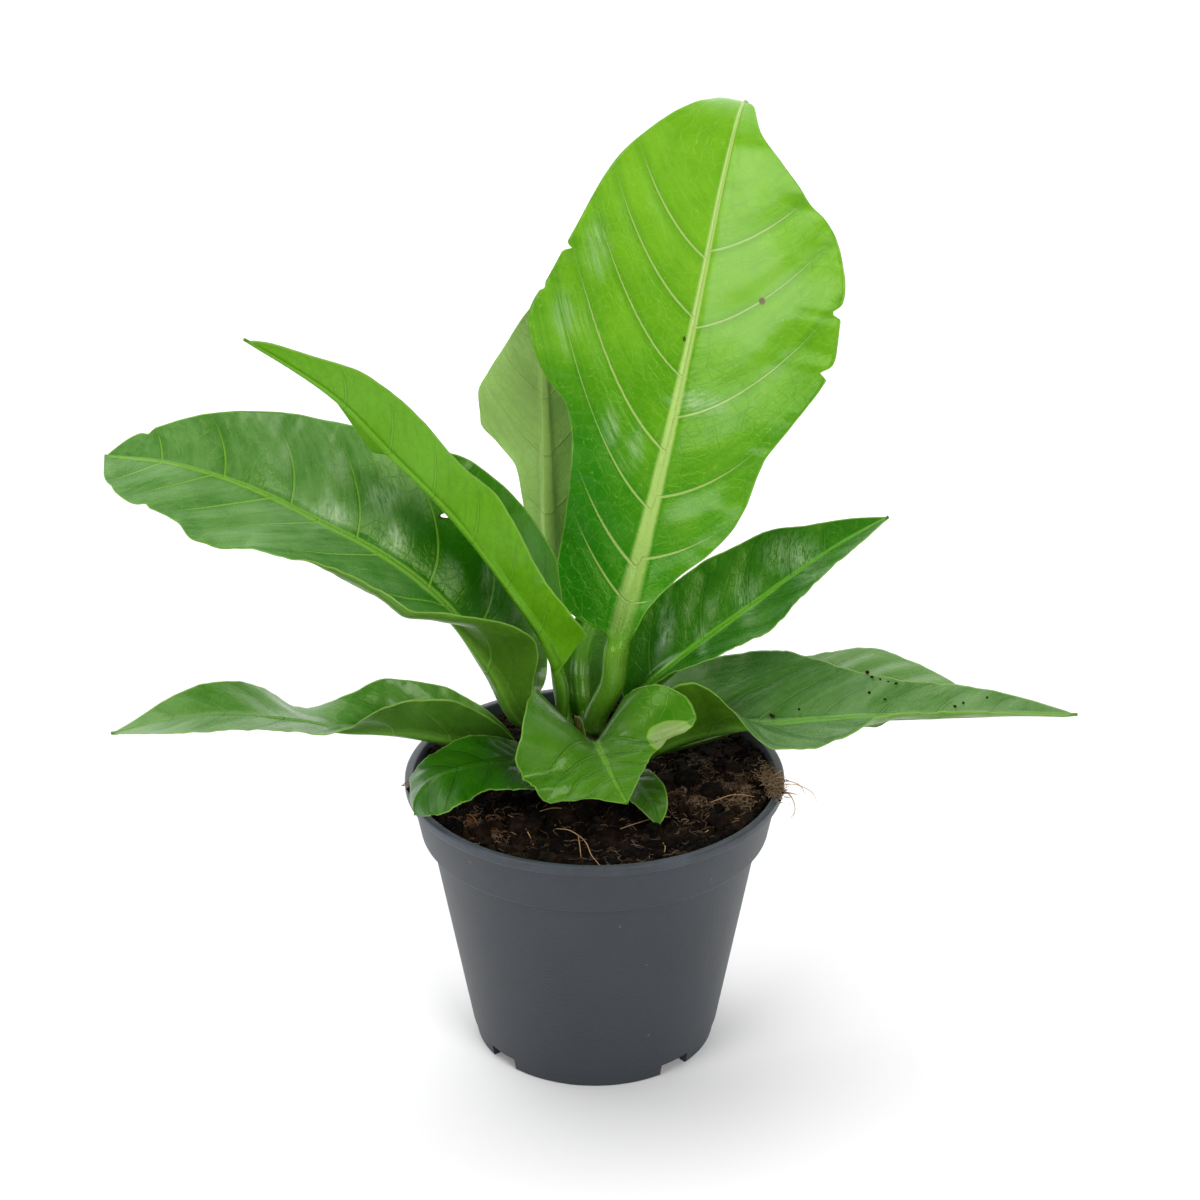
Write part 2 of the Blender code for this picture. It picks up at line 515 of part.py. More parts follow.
def make_soil(group, cutters, finish):
    """The soil: it fills the pot and has a hole for the stem."""
    under = inside_profile(SOIL_GAP)
    top = SOIL_LEVEL + 0.4
    (r0, z0), (r1, z1) = under[-2], under[-1]
    edge = r0 + (r1 - r0) * (top - z0) / (z1 - z0)
    angles = [2 * math.pi * i / SOIL_SIDES for i in range(SOIL_SIDES)]
    points, rings = [], []
    radii = [edge * (k + 1) / SOIL_RINGS for k in range(SOIL_RINGS)]
    for radius in radii:
        rings.append(len(points))
        for a in angles:
            x, y = radius * math.cos(a), radius * math.sin(a)
            points.append((x, y, soil_height(x, y)))
    for radius, z in reversed(under[1:-1]):
        rings.append(len(points))
        points += [(radius * math.cos(a), radius * math.sin(a), z) for a in angles]
    faces = []
    for a, b in zip(rings[:-1], rings[1:]):
        for i in range(SOIL_SIDES):
            j = (i + 1) % SOIL_SIDES
            faces += [(a + i, b + i, b + j), (a + i, b + j, a + j)]
    points += [(0, 0, soil_height(0, 0)), (0, 0, under[0][1])]
    for i in range(SOIL_SIDES):
        j = (i + 1) % SOIL_SIDES
        faces.append((len(points) - 2, i, j))
        faces.append((len(points) - 1, rings[-1] + j, rings[-1] + i))
    soil = mesh_object("soil", points, faces, group, finish)
    depth = 30 * MM
    bottom = (CROWN_BOTTOM_Z - CROWN_HOLE_GAP) * MM
    bpy.ops.mesh.primitive_cylinder_add(vertices=24, radius=(CROWN_NECK_RADIUS + CROWN_HOLE_GAP) * MM,
                                        depth=depth,
                                        location=(CROWN[0] * MM, CROWN[1] * MM, bottom + depth / 2))
    cut(soil, cutter("stem_hole", cutters, finish))
    return soil


def make_stem(group, finish):
    """The short stem: a dome that the stalks stand round, on a neck in the soil."""
    rise = CROWN[2]
    dome = [(CROWN_RADIUS * math.sin(a), rise + CROWN_RADIUS * math.cos(a))
            for a in (math.radians(v) for v in (0, 15, 30, 45, 60, 75, 90, 105))]
    dome[0] = (0, rise + CROWN_RADIUS)
    profile = dome + [(CROWN_NECK_RADIUS, SOIL_LEVEL), (CROWN_NECK_RADIUS - 0.2, CROWN_BOTTOM_Z),
                      (0, CROWN_BOTTOM_Z)]
    return turned("stem", profile, 20, group, finish, centre=CROWN[:2])


def main():
    """Build every piece."""
    clear_scene()
    parts = collection("potted_anthurium")
    cutters = collection("cutters")
    plastic = material("pot_plastic", (0.06, 0.066, 0.075, 1), 0.5)
    peat = material("potting_soil", (0.03, 0.018, 0.01, 1), 0.95)
    stalk = material("stalk_green", PALE_GREEN, 0.5)
    dry = material("dried_bract", (0.2, 0.15, 0.07, 1), 0.8)
    make_pot(parts, cutters, plastic)
    make_soil(parts, cutters, peat)
    make_stem(parts, stalk)
    green = material("leaf_green", GREEN, 0.35)
    for name, leaf in LEAVES.items():
        make_leaf(name, leaf, parts, dry if name == "dried_bract" else green)


if __name__ == "__main__":
    main()
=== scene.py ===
"""A young bird's-nest anthurium in its nursery pot, dressed over its solids.

Lengths are millimetres, and MM turns them into metres. The pot's axis is on Z,
its base is on Z = 0, and -Y is the plant's front. Each leaf is one surface
function, laid over a fine grid: its midrib is a smooth curve, and each half
has its own width, lift, curl and edge wave along the leaf.
"""
import math
import random

import bmesh
import bpy
import numpy as np
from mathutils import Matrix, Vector, noise


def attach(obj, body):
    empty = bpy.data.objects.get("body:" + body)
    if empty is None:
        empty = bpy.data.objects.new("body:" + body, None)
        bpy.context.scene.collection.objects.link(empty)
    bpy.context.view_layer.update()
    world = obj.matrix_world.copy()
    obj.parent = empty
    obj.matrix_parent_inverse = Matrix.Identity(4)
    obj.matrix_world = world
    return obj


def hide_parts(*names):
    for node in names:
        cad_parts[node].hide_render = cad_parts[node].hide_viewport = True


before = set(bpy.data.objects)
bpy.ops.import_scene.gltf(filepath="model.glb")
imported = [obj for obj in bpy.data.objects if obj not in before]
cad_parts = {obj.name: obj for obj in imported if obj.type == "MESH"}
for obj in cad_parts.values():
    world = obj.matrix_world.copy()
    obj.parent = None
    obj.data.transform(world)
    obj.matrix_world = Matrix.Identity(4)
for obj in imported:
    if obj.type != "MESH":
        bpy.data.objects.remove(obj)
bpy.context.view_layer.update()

bl_info = {
    "name": "Potted Anthurium",
    "version": (1, 0, 0),
    "blender": (4, 5, 0),
    "location": "View3D > Sidebar > Anthurium",
    "description": "Adds a young bird's-nest anthurium in a nursery pot of peaty soil",
    "category": "Add Mesh",
}

MM = 0.001

# Height of the finest relief on each surface, in metres
LEAF_RELIEF = 0.0009
POT_RELIEF = 0.0003
SOIL_RELIEF = 0.0012

# Camera, fitted to the pot's rim, band and foot
VIEW_TILT = 25.28
VIEW_DISTANCE = 900.0
VIEW_HEIGHT = 152.9
VIEW_SIDE = 1.7
LENS_MM = 87.76
SENSOR_MM = 36.0
FLOOR_SIZE = 60

# Pot, a standard 12 cm nursery pot
RIM_RADIUS = 60.0
POT_HEIGHT = 92.7
LIP_DEPTH = 3.0
LIP_STEP = 1.8
BAND_BOTTOM_Z = 74.5
BAND_BOTTOM_RADIUS = 55.2
WALL_TOP_RADIUS = 52.4
BASE_RADIUS = 39.0
WALL = 1.3
FOOT_HEIGHT = 5.5
FOOT_STEP = 0.4
FOOT_WIDTH = 3.0
BASE_PAD_RADIUS = 20.0
CHANNEL_HEIGHT = 4.5
NOTCH_COUNT = 4
NOTCH_FIRST_ANGLE = 41.0 - 90.0
NOTCH_WIDTH = 11.0
NOTCH_HEIGHT = 4.2
NOTCH_REACH = 5.0
DRAIN_COUNT = 8
DRAIN_FIRST_ANGLE = 20.0
DRAIN_RADIUS = 3.0
DRAIN_RING_RADIUS = 29.0
DRAIN_CUT = 6.0
POT_STEPS = 192
CORNER_RADIUS = 0.7

# Soil
SOIL_LEVEL = 85.5
SOIL_HEAP = 4.5
SOIL_HEAP_ANGLE = 20.0
SOIL_EDGE_RADIUS = 56.2
SOIL_UNDER = ((SOIL_EDGE_RADIUS - 1, 80), (51.2, 76), (38.5, 6.3))
SOIL_RINGS = 110
SOIL_SIDES = 330
LITTER_RADIUS = 54.0
LITTER_SEED = 7
CRUMB_SIZES = (0.25, 1.5)
LUMP_SIZES = (1.4, 4.2)
CRUMB_STRETCH = (0.6, 1.25)
CRUMB_FLATNESS = 0.75
CRUMB_ROUGHNESS = 0.55
# Heaps of pale fibrous peat: (x, y, width, depth, strength)
FIBRE_HEAPS = ((40, -5, 17, 16, 0.75), (-36, -28, 7, 8, 0.2))

# Stem that all the leaf stalks grow from
CROWN = np.array((-1.0, 10.0, 91.0))
CROWN_RADIUS = 10.0
NECK_DEPTH = 12.0
STALK_GAP = 0.3
STALK_LEAD = 5

# Leaf surface: BLADE_COLUMNS columns of points on each half, and four more on
# the midrib, each at (so many midrib radii, at most this share of the half)
BLADE_THICKNESS = 0.45
BLADE_COLUMNS = 22
RIB_COLUMNS = ((0.3, 0.1), (0.6, 0.2), (0.95, 0.32), (1.3, 0.45))
COLUMN_CROWDING = 1.15
LEAST_ROWS = 40
ROW_CROWDING = 0.97
SPAN_STEPS = 24
ARC_STEPS = 16
TANGENT_STEP = 0.012
# The midrib's ridge above the blade and keel below it, in midrib radii
RIDGE_HEIGHT = 0.42
RIDGE_REACH = 1.1
KEEL_DEPTH = 0.9
KEEL_REACH = 1.3
# Side veins: half width at the edge, more towards the midrib, and darker bed
VEIN_WIDTH = 0.12
VEIN_WIDENING = 0.26
VEIN_BED = 3.0
# The edge's small ruffle: (waves, shift between the halves, share)
RIPPLES = ((83, 2, 1), (141, 5, 0.6), (229, 0, 0.4))
SLENDER = [(0, 2.3), (0.12, 2.3), (0.6, 1.2), (1, 0.5)]
HALVES = {1: "left", -1: "right"}

# Each leaf: where its stalk leaves the stem (azimuth and height angle in
# degrees), the way it points (heading, 0 is +X and 90 is +Y), the points of
# its midrib after the stem, the midrib's radius along the leaf, and for its
# left and right half the width, the angle by which the half lifts from the
# midrib, how much more it curls on the way to its edge, how far that edge is
# swept along the leaf, and its edge wave as (height, number of waves, phase).
# Tables are (place along the leaf from 0 to 1, value).
LEAVES = {
    "leaf_upright": dict(
        start=(60, 80), heading=78,
        rib=[(5.5, 11.5, 118), (7, 13, 130), (14, 22, 156), (23, 32, 193), (31, 44, 228),
            (39, 57, 266), (43.5, 66, 283), (46.5, 77, 288), (49, 90, 283)],
        stalk=[(0, 3.8), (0.16, 4), (0.33, 2.6), (0.5, 1.8), (0.7, 1.1), (1, 0.5)],
        left=dict(width=[(0.13, 0), (0.15, 5), (0.17, 18), (0.2, 24), (0.3, 26), (0.4, 29),
            (0.45, 33), (0.5, 44), (0.57, 51), (0.63, 47), (0.7, 42), (0.8, 34), (0.88, 20),
            (0.94, 8), (1, 0)], lift=[(0, 10)], wave=(1, 5, 0)),
        right=dict(width=[(0.13, 0), (0.16, 5), (0.2, 7), (0.25, 13), (0.3, 22), (0.35, 28),
            (0.44, 32), (0.5, 39), (0.6, 47), (0.68, 46), (0.75, 40), (0.8, 29), (0.84, 18),
            (0.88, 8), (0.94, 3), (1, 0)], lift=[(0, 10)], wave=(1, 5, 90))),
    "leaf_behind": dict(
        start=(133, 40), heading=270,
        rib=[(-13, 31, 125), (-14.5, 44, 154), (-15.5, 54, 188), (-16, 56, 206), (-17, 56, 222),
            (-18, 52, 232)],
        stalk=[(0, 2.3), (0.3, 2.2), (1, 0.5)],
        left=dict(width=[(0.25, 0), (0.28, 3), (0.4, 9), (0.6, 15), (0.75, 19), (0.88, 12),
            (1, 0)], lift=[(0, 15)]),
        right=dict(width=[(0.25, 0), (0.28, 3), (0.4, 5), (0.5, 8), (0.6, 10), (0.65, 16),
            (0.7, 22), (0.76, 22), (0.82, 18), (0.88, 12), (0.94, 6), (1, 0)], lift=[(0, 15)],
            wave=(1, 4, 0))),
    "leaf_left_upper": dict(
        start=(208, 38), heading=195,
        rib=[(-10, 6, 118), (-15, 6, 135), (-24, 3, 152), (-33, -1, 168), (-43, -4, 183),
            (-60, -9, 205), (-76, -13, 225), (-94, -17, 240), (-101, -19, 245)],
        stalk=[(0, 2.3), (0.1, 2.1), (0.2, 1.7), (0.5, 1.3), (1, 0.5)],
        left=dict(width=[(0.16, 0), (0.175, 3), (0.2, 9), (0.215, 13), (0.27, 14), (0.36, 14),
            (0.5, 15), (0.6, 13), (0.7, 14), (0.8, 12), (0.9, 6), (0.96, 3), (1, 0)],
            lift=[(0, 80), (0.18, 80), (0.26, 55), (0.36, 50), (0.45, 62), (0.52, 80)]),
        right=dict(width=[(0.16, 0), (0.18, 3), (0.22, 6), (0.27, 12), (0.35, 18), (0.45, 19),
            (0.55, 17), (0.62, 14), (0.7, 9), (0.8, 6), (0.9, 3), (1, 0)], lift=[(0, 60),
            (0.3, 75), (0.55, 65), (0.65, 0), (0.7, -30), (0.85, -10), (1, 0)])),
    "leaf_left_large": dict(
        start=(168, 38), heading=176,
        rib=[(-24, 12, 105), (-33, 15, 121), (-47, 16, 143), (-64, 18, 158), (-87, 20, 171),
            (-107, 22, 181), (-130, 24, 188), (-152, 26, 190)],
        stalk=[(0, 2.3), (0.12, 2.6), (0.3, 2.2), (0.6, 1.4), (1, 0.6)],
        left=dict(width=[(0.06, 0), (0.08, 5), (0.12, 9), (0.16, 13), (0.2, 20), (0.3, 28),
            (0.4, 31), (0.5, 31), (0.6, 28), (0.7, 26), (0.75, 29), (0.8, 29), (0.84, 24),
            (0.88, 22), (0.92, 21), (0.97, 15), (0.99, 9), (1, 0)], lift=[(0, 75), (0.12, 75),
            (0.2, 70), (0.3, 35), (0.36, 8), (0.42, -10), (0.6, -10), (0.75, -20), (1, -15)],
            curl=[(0, 0), (0.2, 0), (0.3, 55), (0.42, 90), (0.55, 75), (0.65, 20), (0.75, 0)],
            turn=4),
        right=dict(width=[(0.06, 0), (0.08, 5), (0.13, 14), (0.2, 21), (0.3, 26), (0.4, 29),
            (0.5, 32), (0.6, 33), (0.7, 29), (0.8, 22), (0.85, 18), (0.9, 13), (0.96, 7), (1, 0)],
            lift=[(0, 60), (1, 50)], wave=(1, 4, 0))),
    "leaf_left_low": dict(
        start=(187, 5), heading=187,
        rib=[(-30, 6, 98), (-45, 2, 103), (-61, -2, 108), (-79, -5, 111), (-93, -7, 115),
            (-118, -11, 119), (-135, -14, 118), (-149, -16, 115)],
        stalk=SLENDER,
        left=dict(width=[(0.08, 0), (0.1, 3), (0.2, 13), (0.3, 18), (0.38, 15), (0.48, 12),
            (0.55, 10), (0.65, 11), (0.72, 12), (0.8, 14), (0.88, 11), (0.95, 5), (1, 0)],
            lift=[(0, 70), (0.36, 70), (0.42, 60), (0.46, 45), (0.5, 28), (0.56, 8), (1, 5)]),
        right=dict(width=[(0.08, 0), (0.1, 3), (0.2, 13), (0.3, 17), (0.4, 17), (0.5, 13),
            (0.6, 16), (0.7, 15), (0.8, 12), (0.88, 8), (0.95, 3), (1, 0)], lift=[(0, 50),
            (0.4, 50), (0.48, 30), (0.58, -12), (0.7, 15), (0.8, 25), (1, 10)])),
    "leaf_front_left": dict(
        start=(228, 5), heading=200,
        rib=[(-20, -3, 97), (-30, -11, 102), (-40, -19, 105), (-48, -24, 105), (-53.5, -27, 101),
            (-55.5, -28.5, 97), (-55, -30, 94)],
        stalk=SLENDER,
        left=dict(width=[(0.08, 0), (0.1, 3), (0.25, 14), (0.35, 17), (0.5, 14), (0.62, 12),
            (0.75, 15), (0.84, 15), (0.92, 12), (0.97, 9), (1, 0)], lift=[(0, 30), (0.3, 5),
            (0.7, -15), (1, -15)], sweep=[(0.85, 0), (0.93, 0.05), (0.98, 0.35), (1, 0.4)]),
        right=dict(width=[(0.08, 0), (0.1, 3), (0.25, 8), (0.4, 11), (0.5, 12), (0.62, 12),
            (0.75, 12), (0.86, 12), (0.93, 7), (1, 0)], lift=[(0, 30), (0.5, 20), (0.7, 0),
            (1, -10)])),
    "leaf_front": dict(
        start=(275, 30), heading=280,
        rib=[(0, -5, 105), (0.5, -9, 107), (3, -16, 106), (6, -24, 103), (10, -31, 98.5)],
        stalk=[(0, 2.3), (0.25, 2.1), (0.6, 1.1), (1, 0.5)],
        left=dict(width=[(0.22, 0), (0.24, 3), (0.28, 14), (0.34, 24), (0.45, 32), (0.53, 30),
            (0.6, 21), (0.68, 14), (0.78, 10), (0.9, 5), (1, 0)], lift=[(0, 55), (0.28, 53),
            (0.42, 32), (0.5, 18), (0.6, 20), (0.75, 5), (1, 0)], sweep=[(0.3, 0), (0.42, 0.1),
            (0.55, 0.15), (0.7, 0)]),
        right=dict(width=[(0.22, 0), (0.24, 3), (0.28, 18), (0.34, 25), (0.45, 29), (0.54, 30),
            (0.6, 27), (0.7, 25.5), (0.77, 22.5), (0.83, 14), (0.91, 6), (1, 0)], lift=[(0, 45),
            (0.28, 46), (0.42, 38), (0.55, 12), (0.7, 0), (1, 0)], wave=(2.2, 4.3, 225))),
    "leaf_front_small": dict(
        start=(312, 0), heading=310,
        rib=[(10, -5, 93), (14, -13, 94), (18, -21, 92), (20, -27, 88.5)],
        stalk=[(0, 1.8), (0.15, 1.7), (1, 0.5)],
        left=dict(width=[(0.14, 0), (0.18, 3), (0.4, 7), (0.6, 7), (0.8, 5), (0.92, 2.5), (1, 0)],
            lift=[(0, 20)]),
        right=dict(width=[(0.14, 0), (0.18, 3), (0.5, 8), (0.7, 9), (0.85, 6), (0.94, 3), (1, 0)],
            lift=[(0, 20)])),
    "leaf_right_upper": dict(
        start=(40, 35), heading=17,
        rib=[(17, 20, 112), (27, 22, 121), (50, 28, 137.5), (73, 34, 153), (84, 37, 159),
            (93.5, 39, 163.8)],
        stalk=SLENDER,
        left=dict(width=[(0.08, 0), (0.1, 3), (0.2, 14), (0.25, 18), (0.35, 21), (0.5, 21),
            (0.6, 19), (0.7, 17), (0.8, 11), (0.9, 6), (0.96, 2.5), (1, 0)], lift=[(0, 60),
            (1, 40)]),
        right=dict(width=[(0.08, 0), (0.1, 3), (0.2, 10), (0.3, 15), (0.42, 18), (0.55, 18),
            (0.68, 16), (0.8, 12), (0.9, 7), (0.96, 3), (1, 0)], lift=[(0, 40), (0.25, 28),
            (0.35, 15), (0.45, 8), (0.55, 0), (0.65, 6), (0.8, 10), (1, 5)])),
    "leaf_right_large": dict(
        start=(350, 12), heading=355,
        rib=[(30, 8, 101), (46, 4, 107), (59, 0, 110), (72, -3, 113), (84, -5, 115),
            (113, -9, 118), (131.5, -11, 119.5), (149, -13, 120)],
        stalk=SLENDER,
        left=dict(width=[(0.05, 0), (0.07, 6), (0.11, 20), (0.15, 26), (0.22, 28), (0.35, 27),
            (0.45, 23), (0.55, 16), (0.63, 13), (0.7, 12.5), (0.8, 9), (0.9, 5), (1, 0)],
            lift=[(0, 30)], wave=(1, 4, 0)),
        right=dict(width=[(0.06, 0), (0.08, 4), (0.13, 17), (0.2, 22), (0.3, 20), (0.38, 19),
            (0.48, 18), (0.56, 16), (0.63, 12), (0.75, 10), (0.88, 5), (1, 0)], lift=[(0, 75),
            (0.22, 75), (0.3, 45), (0.38, 5), (0.46, 0), (0.55, 5), (1, 10)], curl=[(0, 0),
            (0.44, 0), (0.52, 10), (0.62, 50), (0.75, 50), (1, 20)])),
    "leaf_right_under": dict(
        start=(20, 0), heading=0,
        rib=[(34, 14, 98), (53, 15, 104), (75, 16, 109), (94, 17, 111), (110, 16, 110),
            (124, 14, 108)],
        stalk=[(0, 2.3), (0.15, 2.2), (1, 0.5)],
        left=dict(width=[(0.1, 0), (0.12, 3), (0.35, 20), (0.5, 27), (0.7, 27), (0.8, 20),
            (0.9, 12), (1, 0)], lift=[(0, 10)]),
        right=dict(width=[(0.1, 0), (0.12, 3), (0.35, 4), (0.5, 7), (0.6, 15), (0.68, 20),
            (0.78, 12), (0.93, 5), (1, 0)], lift=[(0, 0)])),
    "leaf_back": dict(
        start=(95, 42), heading=62,
        rib=[(-3.5, 23, 107), (-4, 30, 117), (0, 40, 128), (7, 52, 143), (15, 62, 160),
            (23, 70, 178), (31, 77, 196), (36, 84, 210), (39, 95, 220)],
        stalk=[(0, 2.3), (0.12, 2.8), (0.5, 1.8), (1, 0.5)],
        left=dict(width=[(0.03, 0), (0.06, 8), (0.16, 8.5), (0.24, 6), (0.32, 7), (0.6, 22),
            (0.8, 20), (0.93, 8), (1, 0)], lift=[(0, 15)]),
        right=dict(width=[(0.03, 0), (0.06, 7), (0.16, 9.5), (0.25, 10.5), (0.35, 10), (0.6, 22),
            (0.8, 20), (0.93, 8), (1, 0)], lift=[(0, 15)])),
    "dried_bract": dict(
        start=(247, 50), heading=250, rib=[(-4.6, 2.6, 103), (-5.2, 1.6, 108), (-5.6, 1.2, 112)],
        stalk=[(0, 1.2), (0.5, 0.9), (1, 0.5)],
        left=dict(width=[(0.1, 0), (0.3, 2), (0.8, 1.8), (1, 0.9)], lift=[(0, 30)]),
        right=dict(width=[(0.1, 0), (0.3, 2), (0.8, 1.8), (1, 0.9)], lift=[(0, 30)])),
}

# How each leaf looks: its upper greens (dark and light), its underside, its
# midrib, and the side veins of each half, or of both, as (where each leaves the
# midrib, slope, bend). A vein runs slope mm along the leaf for each mm that it
# goes out, and bend mm more for each square mm. Nicks are (side, place, depth,
# breadth); painted shades, painted highlights, spots, dusty patches with painted
# highlight, and holes start with (centre, size).
LEAF_LOOKS = {
    "leaf_upright": dict(
        dark=(0.011, 0.165, 0.0008), light=(0.16, 0.4, 0.012), under=(0.12, 0.3, 0.03),
        rib=(0.38, 0.55, 0.14), stalk=(0.045, 0.145, 0.002), vein=0.9, ruffle=0.6, swell=0.55,
        rise=0.65, left=((0.2, 0.25, 0.335, 0.42, 0.527, 0.61, 0.693), 0.55, 0.02),
        right=((0.2, 0.265, 0.355, 0.47, 0.597, 0.705), 0.32, 0.015),
        nicks=[(1, 0.672, 2.5, 0.005), (-1, 0.655, 3, 0.009), (-1, 0.572, 3, 0.008),
            (-1, 0.79, 1.4, 0.02), (1, 0.61, 1, 0.006), (-1, 0.945, 3.5, 0.035)],
        painted_shades=[((-8, 27, 172), (27, 34, 64), 0.95), ((14, 30, 150), (26, 34, 36), 0.5)],
        painted_highlights=[((1, 51, 249), (6, 20, 13)), ((-10, 46, 230), (5, 20, 9)), ((5, 33, 196),
            (4, 20, 8)), ((13, 32, 191), (3.5, 20, 9)), ((31, 32, 205), (13, 20, 5))],
        spots=[((51.5, 38.7, 236.2), (1, 3, 1.1), (0.1, 0.08, 0.01)), ((27.9, 42.2, 222.6),
            (0.5, 2, 0.8), (0.05, 0.04, 0.01))],
        dust_and_highlights=[((-6, 45, 228), (7, 9, 8)), ((5.5, 34.6, 199), (5, 6, 10)), ((10, 32, 188),
            (4, 6, 9)), ((-9, 44, 222), (3, 6, 10))]),
    "leaf_behind": dict(
        # Its underside colour holds painted light shining through the leaf, as well as its own pale
        # green.
        dark=(0.12, 0.24, 0.05), light=(0.19, 0.32, 0.09), under=(0.3, 0.5, 0.13),
        rib=(0.34, 0.52, 0.12), vein=0.35, ruffle=0.3,
        veins=((0.35, 0.5, 0.63, 0.76, 0.87), 0.7, 0.03)),
    "leaf_left_upper": dict(
        # Its bright underside green holds painted light shining through the leaf, as well as its
        # own green.
        dark=(0.02, 0.15, 0.003), light=(0.05, 0.22, 0.01), under=(0.1, 0.31, 0.004),
        rib=(0.12, 0.33, 0.015), vein=0.4, ruffle=0.4,
        veins=((0.25, 0.36, 0.47, 0.58, 0.69, 0.8), 0.8, 0.03)),
    "leaf_left_large": dict(
        dark=(0.013, 0.12, 0.001), light=(0.125, 0.28, 0.07), under=(0.065, 0.18, 0.01),
        rib=(0.15, 0.36, 0.03), vein=1, ruffle=0.5,
        left=((0.2, 0.34, 0.49, 0.61, 0.7, 0.81, 0.9), 1.1, 0.012),
        right=((0.27, 0.39, 0.54, 0.667, 0.79, 0.9), 0.12, 0.022),
        painted_highlights=[((-83, 22, 172), (10, 25, 5)), ((-66, 28, 176), (8, 25, 7)), ((-33, 23, 147),
            (4, 25, 15)), ((-62, 22, 164), (6, 25, 6))],
        nicks=[(1, 0.9, 1.5, 0.01), (1, 0.97, 1, 0.01), (-1, 0.93, 1.5, 0.01)],
        painted_shades=[((-44, 22, 152), (24, 30, 36), 0.9)],
        holes=[((-46.4, 29.4, 168.3), (2.2, 4, 0.8))]),
    "leaf_left_low": dict(
        dark=(0.025, 0.14, 0.004), light=(0.1, 0.24, 0.045), under=(0.045, 0.14, 0.01),
        rib=(0.09, 0.24, 0.02), vein=0.35, ruffle=0.4,
        veins=((0.25, 0.38, 0.5, 0.62, 0.75, 0.86), 0.8, 0.03)),
    "leaf_front_left": dict(
        dark=(0.006, 0.07, 0.0005), light=(0.02, 0.12, 0.002), under=(0.1, 0.22, 0.04),
        rib=(0.02, 0.115, 0.002), vein=0.1, ruffle=0.4, veins=((0.3, 0.48, 0.66, 0.82), 0.7, 0.03)),
    "leaf_front": dict(
        dark=(0.03, 0.15, 0.003), light=(0.075, 0.21, 0.012), under=(0.28, 0.4, 0.12),
        rib=(0.1, 0.27, 0.016), vein=0.3, ruffle=1.3, spot_edge=0.8,
        spots=[((25.5, -11, 111.8), (8.5, 12, 3.8), (0.2, 0.3, 0.09))],
        veins=((0.4, 0.52, 0.64, 0.76, 0.88), 0.1, 0.02)),
    "leaf_front_small": dict(
        dark=(0.02, 0.095, 0.001), light=(0.04, 0.14, 0.004), under=(0.06, 0.18, 0.02),
        rib=(0.03, 0.125, 0.003), vein=0.15, ruffle=0.2, veins=((0.3, 0.5, 0.7), 0.8, 0.03)),
    "leaf_right_upper": dict(
        dark=(0.006, 0.1, 0.0005), light=(0.05, 0.2, 0.012), under=(0.06, 0.19, 0.01),
        rib=(0.1, 0.34, 0.01), vein=0.25, ruffle=0.4, painted_shades=[((30, 25, 118), (34, 30, 26), 0.6)],
        painted_highlights=[((23, 28, 131), (4, 25, 10)), ((34, 26, 128), (3, 25, 6)), ((48, 29, 140),
            (5, 25, 8)), ((63, 32, 152), (14, 25, 8))],
        left=((0.2, 0.38, 0.54, 0.68, 0.8), 0.4, 0.025),
        right=((0.25, 0.42, 0.58, 0.74), 0.8, 0.03)),
    "leaf_right_large": dict(
        dark=(0.022, 0.11, 0.008), light=(0.11, 0.23, 0.07), under=(0.08, 0.22, 0.01),
        rib=(0.12, 0.3, 0.04), vein=0.3, ruffle=0.5,
        left=((0.18, 0.31, 0.45, 0.58, 0.7, 0.82), 0.6, 0.05),
        right=((0.2, 0.34, 0.5, 0.66, 0.8), 1, 0.05)),
    "leaf_right_under": dict(
        dark=(0.04, 0.15, 0.015), light=(0.08, 0.2, 0.03), under=(0.04, 0.12, 0.01),
        rib=(0.12, 0.3, 0.04), vein=0.3, ruffle=0.3,
        veins=((0.25, 0.4, 0.55, 0.7, 0.85), 0.8, 0.03)),
    "leaf_back": dict(
        dark=(0.02, 0.13, 0.002), light=(0.05, 0.19, 0.008), under=(0.05, 0.17, 0.01),
        rib=(0.1, 0.3, 0.02), vein=0.5, ruffle=0.4,
        veins=((0.25, 0.38, 0.5, 0.62, 0.75, 0.86), 0.7, 0.025)),
    "dried_bract": dict(
        dark=(0.3, 0.24, 0.08), light=(0.5, 0.42, 0.2), under=(0.2, 0.17, 0.06),
        rib=(0.09, 0.06, 0.015), vein=0.2, ruffle=0.2, veins=((0.3, 0.6), 3, 0)),
}
# Colours that all the leaves share, and a painted shade among the stalks that also darkens their
# own older green
MARGIN = (0.19, 0.36, 0.05)
STALK = (0.03, 0.1, 0.002)
# Pale colour of dusty patches that are partly a painted highlight
DUST_AND_HIGHLIGHT = (0.35, 0.5, 0.2)
# Colour of the painted highlights
PAINTED_HIGHLIGHT = (0.31, 0.46, 0.24)
HOLE_EDGE = (0.03, 0.03, 0.004)
SHADED_STALK_GREEN = (0.006, 0.035, 0.001)
SHADE_CENTRE = (0, 8, 100)
SHADE_SIZE = (34, 34, 34)
SOIL_SPECK = (0.1, 0.06, 0.035)


class Flow:
    """A number on its way through a material's nodes; arithmetic on it adds Math nodes."""

    def __init__(self, finish, socket):
        self.finish, self.socket = finish, socket

    def __add__(self, other):
        return self.finish.math("ADD", self, other)

    __radd__ = __add__

    def __sub__(self, other):
        return self.finish.math("SUBTRACT", self, other)

    def __rsub__(self, other):
        return self.finish.math("SUBTRACT", other, self)

    def __mul__(self, other):
        return self.finish.math("MULTIPLY", self, other)

    __rmul__ = __mul__

    def __truediv__(self, other):
        return self.finish.math("DIVIDE", self, other)

    def __abs__(self):
        return self.finish.math("ABSOLUTE", self)


